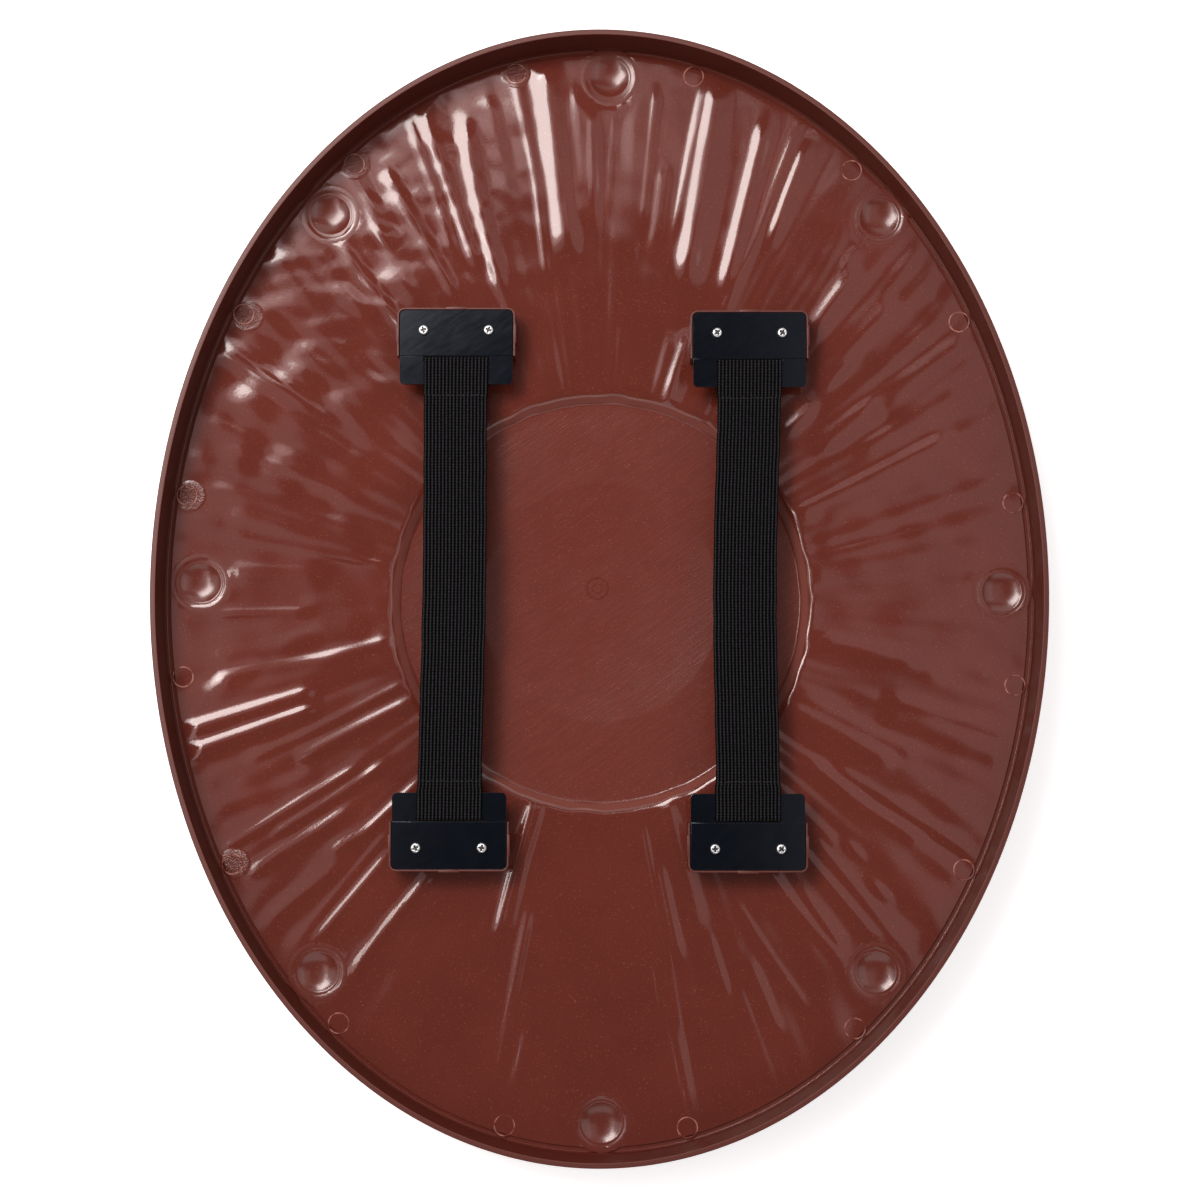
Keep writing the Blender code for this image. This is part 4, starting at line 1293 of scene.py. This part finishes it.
def shade(base, *factors):
    """A colour scaled by one factor, or by one for each channel, with full opacity."""
    if len(factors) == 1:
        factors *= 3
    return (*[channel * part for channel, part in zip(base, factors)], 1.0)


def brown_plastic(settings, name, gloss):
    """Glossy brown plastic, satin and brushed on the boss, matt and darker on the rim, with painted glints
    of pale specks and a painted pale reflection on the boss's step.
    """
    graph = Graph(name)
    base = settings.plastic
    centred = graph.node("ShaderNodeMapping", {
        "Vector": graph.place, "Location": (-BOSS_X, -BOSS_Y, 0), "Scale": (1, 1, 0),
    }).outputs["Vector"]
    radius = graph.node("ShaderNodeVectorMath", {0: centred}, operation="LENGTH").outputs["Value"]
    boss = graph.spread(radius, BOSS_RADIUS - 0.002, BOSS_RADIUS - 0.006)
    height = graph.node("ShaderNodeSeparateXYZ", {0: graph.place}).outputs["Z"]
    rim = graph.spread(height, DISH_EDGE_Z + 0.001, DISH_EDGE_Z + 0.005)

    brushed = graph.noise(60.0, 3.0, graph.stretched((26, 1, 1), math.radians(-55)))
    scraped = graph.maths("MULTIPLY", graph.spread(brushed, 0.48, 0.62), boss)
    cloudy = graph.spread(graph.noise(22.0, 3.0), 0.35, 0.65)
    tone = graph.mixed(cloudy, shade(base, 0.94), shade(base, 1.06))
    tone = graph.mixed(boss, tone, shade(base, 1.08))
    tone = graph.mixed(graph.maths("MULTIPLY", scraped, 0.12), tone, shade(base, 2.4))
    # Painted glints: sparse pale golden specks lightened into the colour.
    glint_specks = graph.spread(graph.noise(1100.0, 2.0), 0.62, 0.74)
    tone = graph.mixed(graph.maths("MULTIPLY", glint_specks, 0.40), tone, shade(base, 2.8, 4.5, 4.0))
    tone = graph.mixed(rim, tone, shade(base, 0.78, 0.40, 0.10))
    # Painted reflection: a pale pink band lightened into the colour on the sloped wall of the boss's step.
    step = graph.maths("ABSOLUTE", graph.maths("SUBTRACT", radius, BOSS_RADIUS - BOSS_STEP_RUN / 2))
    step_reflection_mask = graph.spread(step, BOSS_STEP_RUN / 2, BOSS_STEP_RUN / 4)
    tone = graph.mixed(graph.maths("MULTIPLY", step_reflection_mask, 0.6), tone, shade(base, 1.9, 3.2, 4.0))

    smudge = graph.spread(graph.noise(55.0, 4.0), 0.3, 0.7, -0.01, 0.02)
    rough = graph.spread(boss, 0, 1, gloss, settings.boss_gloss)
    rough = graph.maths("ADD", rough, graph.maths("MULTIPLY", rim, settings.rim_matt))
    rough = graph.maths("ADD", rough, smudge)

    grain = graph.bump(graph.noise(1100.0, 3.0), 0.00003, 0.6)
    lines = graph.bump(graph.maths("MULTIPLY", brushed, boss), 0.00013, 0.5, grain)
    rubbed = 0.0
    for spot in RUBBED_SPOTS:
        away = graph.node("ShaderNodeVectorMath", {
            0: graph.place, 1: (*spot_place(spot), DISH_EDGE_Z),
        }, operation="DISTANCE").outputs["Value"]
        rubbed = graph.maths("MAXIMUM", rubbed, graph.spread(away, RUBBED_RADIUS, RUBBED_CORE))
    hairs = graph.noise(330.0, 4.0, graph.stretched((1.0, 2.6, 1.0), math.radians(25)), 0.6)
    relief = graph.bump(graph.maths("MULTIPLY", hairs, rubbed), 0.0011, 1.0, lines)
    return graph.finish(Base_Color=tone, Roughness=rough, IOR=1.5, Normal=relief)


def pin_ring_highlight_plastic(settings):
    """The same plastic, painted paler on the raised pin-mark rings as a highlight, unevenly round each
    ring.
    """
    graph = Graph("pin_ring_highlight_plastic")
    base = settings.plastic
    uneven = graph.spread(graph.noise(260.0, 2.0), 0.38, 0.62)
    # Painted highlight: the rings are lightened where their raised lines catch the light.
    tone = graph.mixed(uneven, shade(base, 1.3), shade(base, 3.6, 8.0, 10.0))
    return graph.finish(Base_Color=tone, Roughness=0.25)


def black_plastic(settings):
    """Satin blue-black plastic with faint scuffs."""
    graph = Graph("black_plastic")
    base = settings.plate
    cloudy = graph.spread(graph.noise(70.0, 4.0), 0.3, 0.7)
    scuffs = graph.noise(90.0, 5.0, graph.stretched((1, 5, 1), math.radians(35)))
    uneven = graph.bump(graph.noise(60.0, 3.0), 0.00015, 0.4)
    return graph.finish(
        Base_Color=graph.mixed(cloudy, shade(base, 0.85), shade(base, 1.2)),
        Roughness=graph.spread(scuffs, 0.3, 0.8, 0.12, 0.18),
        Specular_IOR_Level=0.25,
        Specular_Tint=(0.70, 0.87, 1.0, 1.0),
        Normal=graph.bump(scuffs, 0.00003, 0.4, uneven),
    )


def black_elastic(settings):
    """Ribbed black elastic: a fine knit across the ribs, matt and a little fuzzy, with painted highlights
    on the rib crests and painted shade in the grooves.
    """
    graph = Graph("black_elastic")
    base = settings.elastic
    knit = graph.node("ShaderNodeTexWave", {
        "Vector": graph.place, "Scale": 200.0, "Distortion": 3.0, "Detail": 2.0, "Detail Scale": 4.0,
    }, wave_type="BANDS", bands_direction="Y").outputs["Fac"]
    fuzz = graph.noise(1600.0, 4.0)
    tone = graph.maths("MULTIPLY", graph.maths("ADD", knit, fuzz), 0.5)
    rib = graph.node("ShaderNodeAttribute", attribute_name="rib").outputs["Fac"]
    # Painted light and shade: the rib crests are lightened and the grooves darkened nearly to black.
    raised = graph.maths("MULTIPLY", graph.spread(rib, 0.62, 1.0), tone)
    return graph.finish(
        Base_Color=graph.mixed(raised, shade(base, 0.02), shade(base, 6.5)),
        Roughness=0.85,
        Sheen_Weight=0.015,
        Sheen_Roughness=0.5,
        Specular_IOR_Level=0.05,
        Normal=graph.bump(tone, 0.00030, 0.8),
    )


def black_thread(settings):
    """Plain black sewing thread, darker than the elastic."""
    graph = Graph("black_thread")
    fibre = graph.noise(1800.0, 3.0, graph.stretched((1, 6, 1)))
    base = settings.elastic
    tone = graph.mixed(fibre, shade(base, 0.3), shade(base, 0.8))
    return graph.finish(Base_Color=tone, Roughness=0.7, Normal=graph.bump(fibre, 0.0001, 0.5))


def bright_zinc(settings):
    """Bright zinc on the screws, a little uneven, with painted shade in the cross recess."""
    graph = Graph("bright_zinc")
    cloudy = graph.noise(900.0, 3.0)
    base = settings.steel
    recess = graph.node("ShaderNodeAttribute", attribute_name="recess").outputs["Fac"]
    tone = graph.mixed(cloudy, shade(base, 0.70), shade(base, 1.1))
    # Painted shade: the cross recess is darkened nearly to black.
    tone = graph.mixed(graph.spread(recess, 0.15, 0.7), tone, shade(base, 0.10))
    return graph.finish(
        Base_Color=tone,
        Metallic=1.0,
        Roughness=graph.spread(cloudy, 0.3, 0.7, 0.28, 0.42),
        Normal=graph.bump(graph.noise(2500.0, 2.0), 0.00003, 0.4),
    )


def pale_floor(settings):
    """Pale matt floor that gives a little light by itself."""
    graph = Graph("pale_floor")
    cloudy = graph.noise(3.0, 2.0)
    base = settings.floor
    return graph.finish(
        Base_Color=graph.mixed(cloudy, shade(base, 0.995), shade(base, 1.0)),
        Roughness=0.9,
        Emission_Color=shade(base, 1.0),
        Emission_Strength=settings.floor_glow,
    )


# Soft lights: each has its place, size, brightness setting, tint, target and upward direction
WHITE = (1.0, 1.0, 1.0)
KEY_TINT = (1.0, 0.89, 0.86)
SIDE_TINT = (1.0, 0.74, 0.74)
KEY_UP = (-0.65, 0.76, 0)
Panel = namedtuple(
    "Panel", "name place width height brightness tint target up", defaults=((0, 0, 0), (0, 1, 0)),
)
PANELS = (
    Panel("key", (-0.51, 0.52, 1.30), 0.78, 0.34, "key_radiance", KEY_TINT, up=KEY_UP),
    Panel("key_edge", (-0.63, 0.67, 1.28), 0.72, 0.07, "edge_radiance", KEY_TINT, up=KEY_UP),
    Panel("key_haze", (-0.37, 0.35, 1.34), 0.74, 0.10, "haze_radiance", SIDE_TINT, up=KEY_UP),
    Panel("left_panel", (-0.42, 0.10, 1.40), 0.34, 0.70, "side_radiance", SIDE_TINT, (-0.30, 0, 0)),
    Panel("left_strip", (-0.57, 0.06, 1.32), 0.14, 0.44, "strip_radiance", KEY_TINT),
    Panel("left_low", (-0.55, -0.36, 1.32), 0.30, 0.36, "haze_radiance", SIDE_TINT),
    Panel("right_panel", (0.52, 0.16, 1.40), 0.60, 1.00, "side_radiance", SIDE_TINT, (0.30, 0, 0)),
    Panel("bar_near", (0.00, 0.50, 1.36), 0.34, 0.05, "bar_radiance", SIDE_TINT, (0, 0.2, 0)),
    Panel("bar_far", (0.00, 0.59, 1.36), 0.34, 0.05, "bar_radiance", SIDE_TINT, (0, 0.2, 0)),
    Panel("fill_left", (-1.45, 0.30, 1.50), 1.2, 1.6, "fill_radiance", WHITE),
    Panel("fill_top", (0.20, 1.70, 1.50), 2.2, 1.1, "fill_radiance", WHITE),
    Panel("fill_right", (1.35, 0.10, 1.65), 1.0, 1.6, "low_radiance", WHITE),
    Panel("fill_front", (0.10, -1.50, 1.65), 2.2, 1.0, "low_radiance", WHITE),
)


def soft_light(panel, radiance):
    """A rectangular soft light of a given brightness, aimed at a point."""
    data = bpy.data.lights.new(panel.name, "AREA")
    data.shape = "RECTANGLE"
    data.size = panel.width
    data.size_y = panel.height
    data.color = panel.tint
    data.energy = radiance * math.pi * panel.width * panel.height
    light = bpy.data.objects.new(panel.name, data)
    bpy.context.scene.collection.objects.link(light)
    back = (Vector(panel.place) - Vector(panel.target)).normalized()
    side = Vector(panel.up).cross(back).normalized()
    turn = Matrix((side, back.cross(side), back)).transposed().to_4x4()
    light.matrix_world = Matrix.Translation(panel.place) @ turn
    return light


def make_camera(settings):
    """The camera over the middle of the shield, looking down at the photograph's angle."""
    data = bpy.data.cameras.new("camera")
    data.sensor_width = SENSOR_WIDTH
    data.lens = SENSOR_WIDTH * settings.camera_distance / VIEW_WIDTH
    camera = bpy.data.objects.new("camera", data)
    bpy.context.scene.collection.objects.link(camera)
    tilt = settings.camera_tilt
    target = Vector((TARGET_X, TARGET_Y, RIM_TOP_Z))
    back = Vector((0, -math.sin(tilt), math.cos(tilt)))
    camera.location = target + back * settings.camera_distance
    camera.rotation_euler = (tilt, 0, 0)
    bpy.context.scene.camera = camera


class SHIELD_OT_shell(bpy.types.Operator):
    """Makes the moulded shell with its studs, pin marks and plate blocks"""

    bl_idname = "shield.shell"
    bl_label = "Moulded shell"

    def execute(self, context):
        settings = context.scene.shield_shell
        plastic = brown_plastic(settings, "brown_plastic", settings.dish_gloss)
        bowls = brown_plastic(settings, "stud_plastic", settings.stud_gloss)
        # The paler finish of the pin-mark rings is a painted highlight.
        ring_highlight_finish = pin_ring_highlight_plastic(settings)
        scale = settings.relief
        pieces = [
            ("shell_moulding", make_shell_mesh(settings), plastic),
            ("stud_hollows", make_studs(scale), bowls),
            ("gate_mark", make_gate_mark(), plastic),
            ("pin_marks", make_pin_marks(scale), ring_highlight_finish),
        ]
        for anchor in ANCHORS:
            meshes = [make_block_mesh(anchor, scale), *make_tabs(anchor)]
            block = join_meshes(f"block_{anchor.name}", meshes)
            pieces.append((f"plate_block_{anchor.name}", block, plastic))
        for name, mesh, finish in pieces:
            add_piece(name, mesh, finish, ["shield_shell"])
        return {"FINISHED"}


class SHIELD_OT_plates(bpy.types.Operator):
    """Makes the four black anchor plates"""

    bl_idname = "shield.plates"
    bl_label = "Anchor plates"

    def execute(self, context):
        settings = context.scene.shield_fittings
        plastic = black_plastic(settings)
        for anchor in ANCHORS:
            mesh = make_plate_mesh(anchor, settings.strap_width)
            name = f"anchor_plate_{anchor.name}"
            add_piece(f"{name}_moulded", mesh, plastic, [name])
        return {"FINISHED"}


class SHIELD_OT_screws(bpy.types.Operator):
    """Makes the eight pan-head screws"""

    bl_idname = "shield.screws"
    bl_label = "Screws"

    def execute(self, context):
        zinc = bright_zinc(context.scene.shield_fittings)
        spots = [spot for anchor in ANCHORS for spot in screw_spots(anchor)]
        for (name, x, y), turn in zip(spots, SCREW_TURNS):
            mesh = make_screw_mesh(f"screw_{name}", x, y, turn)
            add_piece(f"screw_{name}_head", mesh, zinc, [f"screw_{name}"])
        return {"FINISHED"}


class SHIELD_OT_straps(bpy.types.Operator):
    """Makes the two ribbed elastic straps and their stitches"""

    bl_idname = "shield.straps"
    bl_label = "Elastic straps"

    def execute(self, context):
        settings = context.scene.shield_fittings
        elastic = black_elastic(settings)
        thread = black_thread(settings)
        for strap in STRAPS:
            node = f"strap_{strap.name}"
            mesh = make_strap_mesh(
                strap, settings.strap_width, settings.strap_ribs, settings.rib_height,
            )
            add_piece(f"{node}_webbing", mesh, elastic, [node])
            stitches = make_stitches(strap, settings.strap_width)
            add_piece(f"{node}_stitches", stitches, thread, [node])
        return {"FINISHED"}


class SHIELD_OT_stage(bpy.types.Operator):
    """Makes the floor, the soft studio lights and the camera"""

    bl_idname = "shield.stage"
    bl_label = "Stage"

    def execute(self, context):
        settings = context.scene.shield_stage
        built = bmesh.new()
        bmesh.ops.create_grid(built, x_segments=2, y_segments=2, size=4.0)
        floor = bpy.data.objects.new("floor", finish_mesh("floor", built))
        context.scene.collection.objects.link(floor)
        floor.data.materials.append(pale_floor(settings))

        for panel in PANELS:
            soft_light(panel, getattr(settings, panel.brightness))
        world = bpy.data.worlds.new("room")
        world.use_nodes = True
        room = world.node_tree.nodes["Background"]
        room.inputs["Color"].default_value = (1.0, 1.0, 1.0, 1.0)
        room.inputs["Strength"].default_value = settings.surround
        context.scene.world = world
        context.scene.view_settings.view_transform = "Standard"
        make_camera(settings)
        return {"FINISHED"}


class SHIELD_PT_panel(bpy.types.Panel):
    """Lists the settings and operators of the shield"""

    bl_label = "Costume shield"
    bl_idname = "SHIELD_PT_panel"
    bl_space_type = "VIEW_3D"
    bl_region_type = "UI"
    bl_category = "Shield"

    def draw(self, context):
        scene = context.scene
        for title, settings, operators in (
            ("Shell", scene.shield_shell, ("shield.shell",)),
            ("Fittings", scene.shield_fittings, ("shield.plates", "shield.screws", "shield.straps")),
            ("Stage", scene.shield_stage, ("shield.stage",)),
        ):
            box = self.layout.box()
            box.label(text=title)
            for name in settings.bl_rna.properties.keys():
                if name not in {"rna_type", "name"}:
                    box.prop(settings, name)
            for operator in operators:
                box.operator(operator)


GROUPS = (
    ("shield_shell", ShieldShellSettings),
    ("shield_fittings", ShieldFittingsSettings),
    ("shield_stage", ShieldStageSettings),
)
OPERATORS = (
    SHIELD_OT_shell,
    SHIELD_OT_plates,
    SHIELD_OT_screws,
    SHIELD_OT_straps,
    SHIELD_OT_stage,
)


def register():
    for name, group in GROUPS:
        bpy.utils.register_class(group)
        setattr(bpy.types.Scene, name, PointerProperty(type=group))
    for operator in OPERATORS:
        bpy.utils.register_class(operator)
    bpy.utils.register_class(SHIELD_PT_panel)


def unregister():
    bpy.utils.unregister_class(SHIELD_PT_panel)
    for operator in reversed(OPERATORS):
        bpy.utils.unregister_class(operator)
    for name, group in reversed(GROUPS):
        delattr(bpy.types.Scene, name)
        bpy.utils.unregister_class(group)


def main():
    """Makes every piece and the stage."""
    register()
    bpy.ops.shield.shell()
    bpy.ops.shield.plates()
    bpy.ops.shield.screws()
    bpy.ops.shield.straps()
    bpy.ops.shield.stage()


if __name__ == "__main__":
    main()
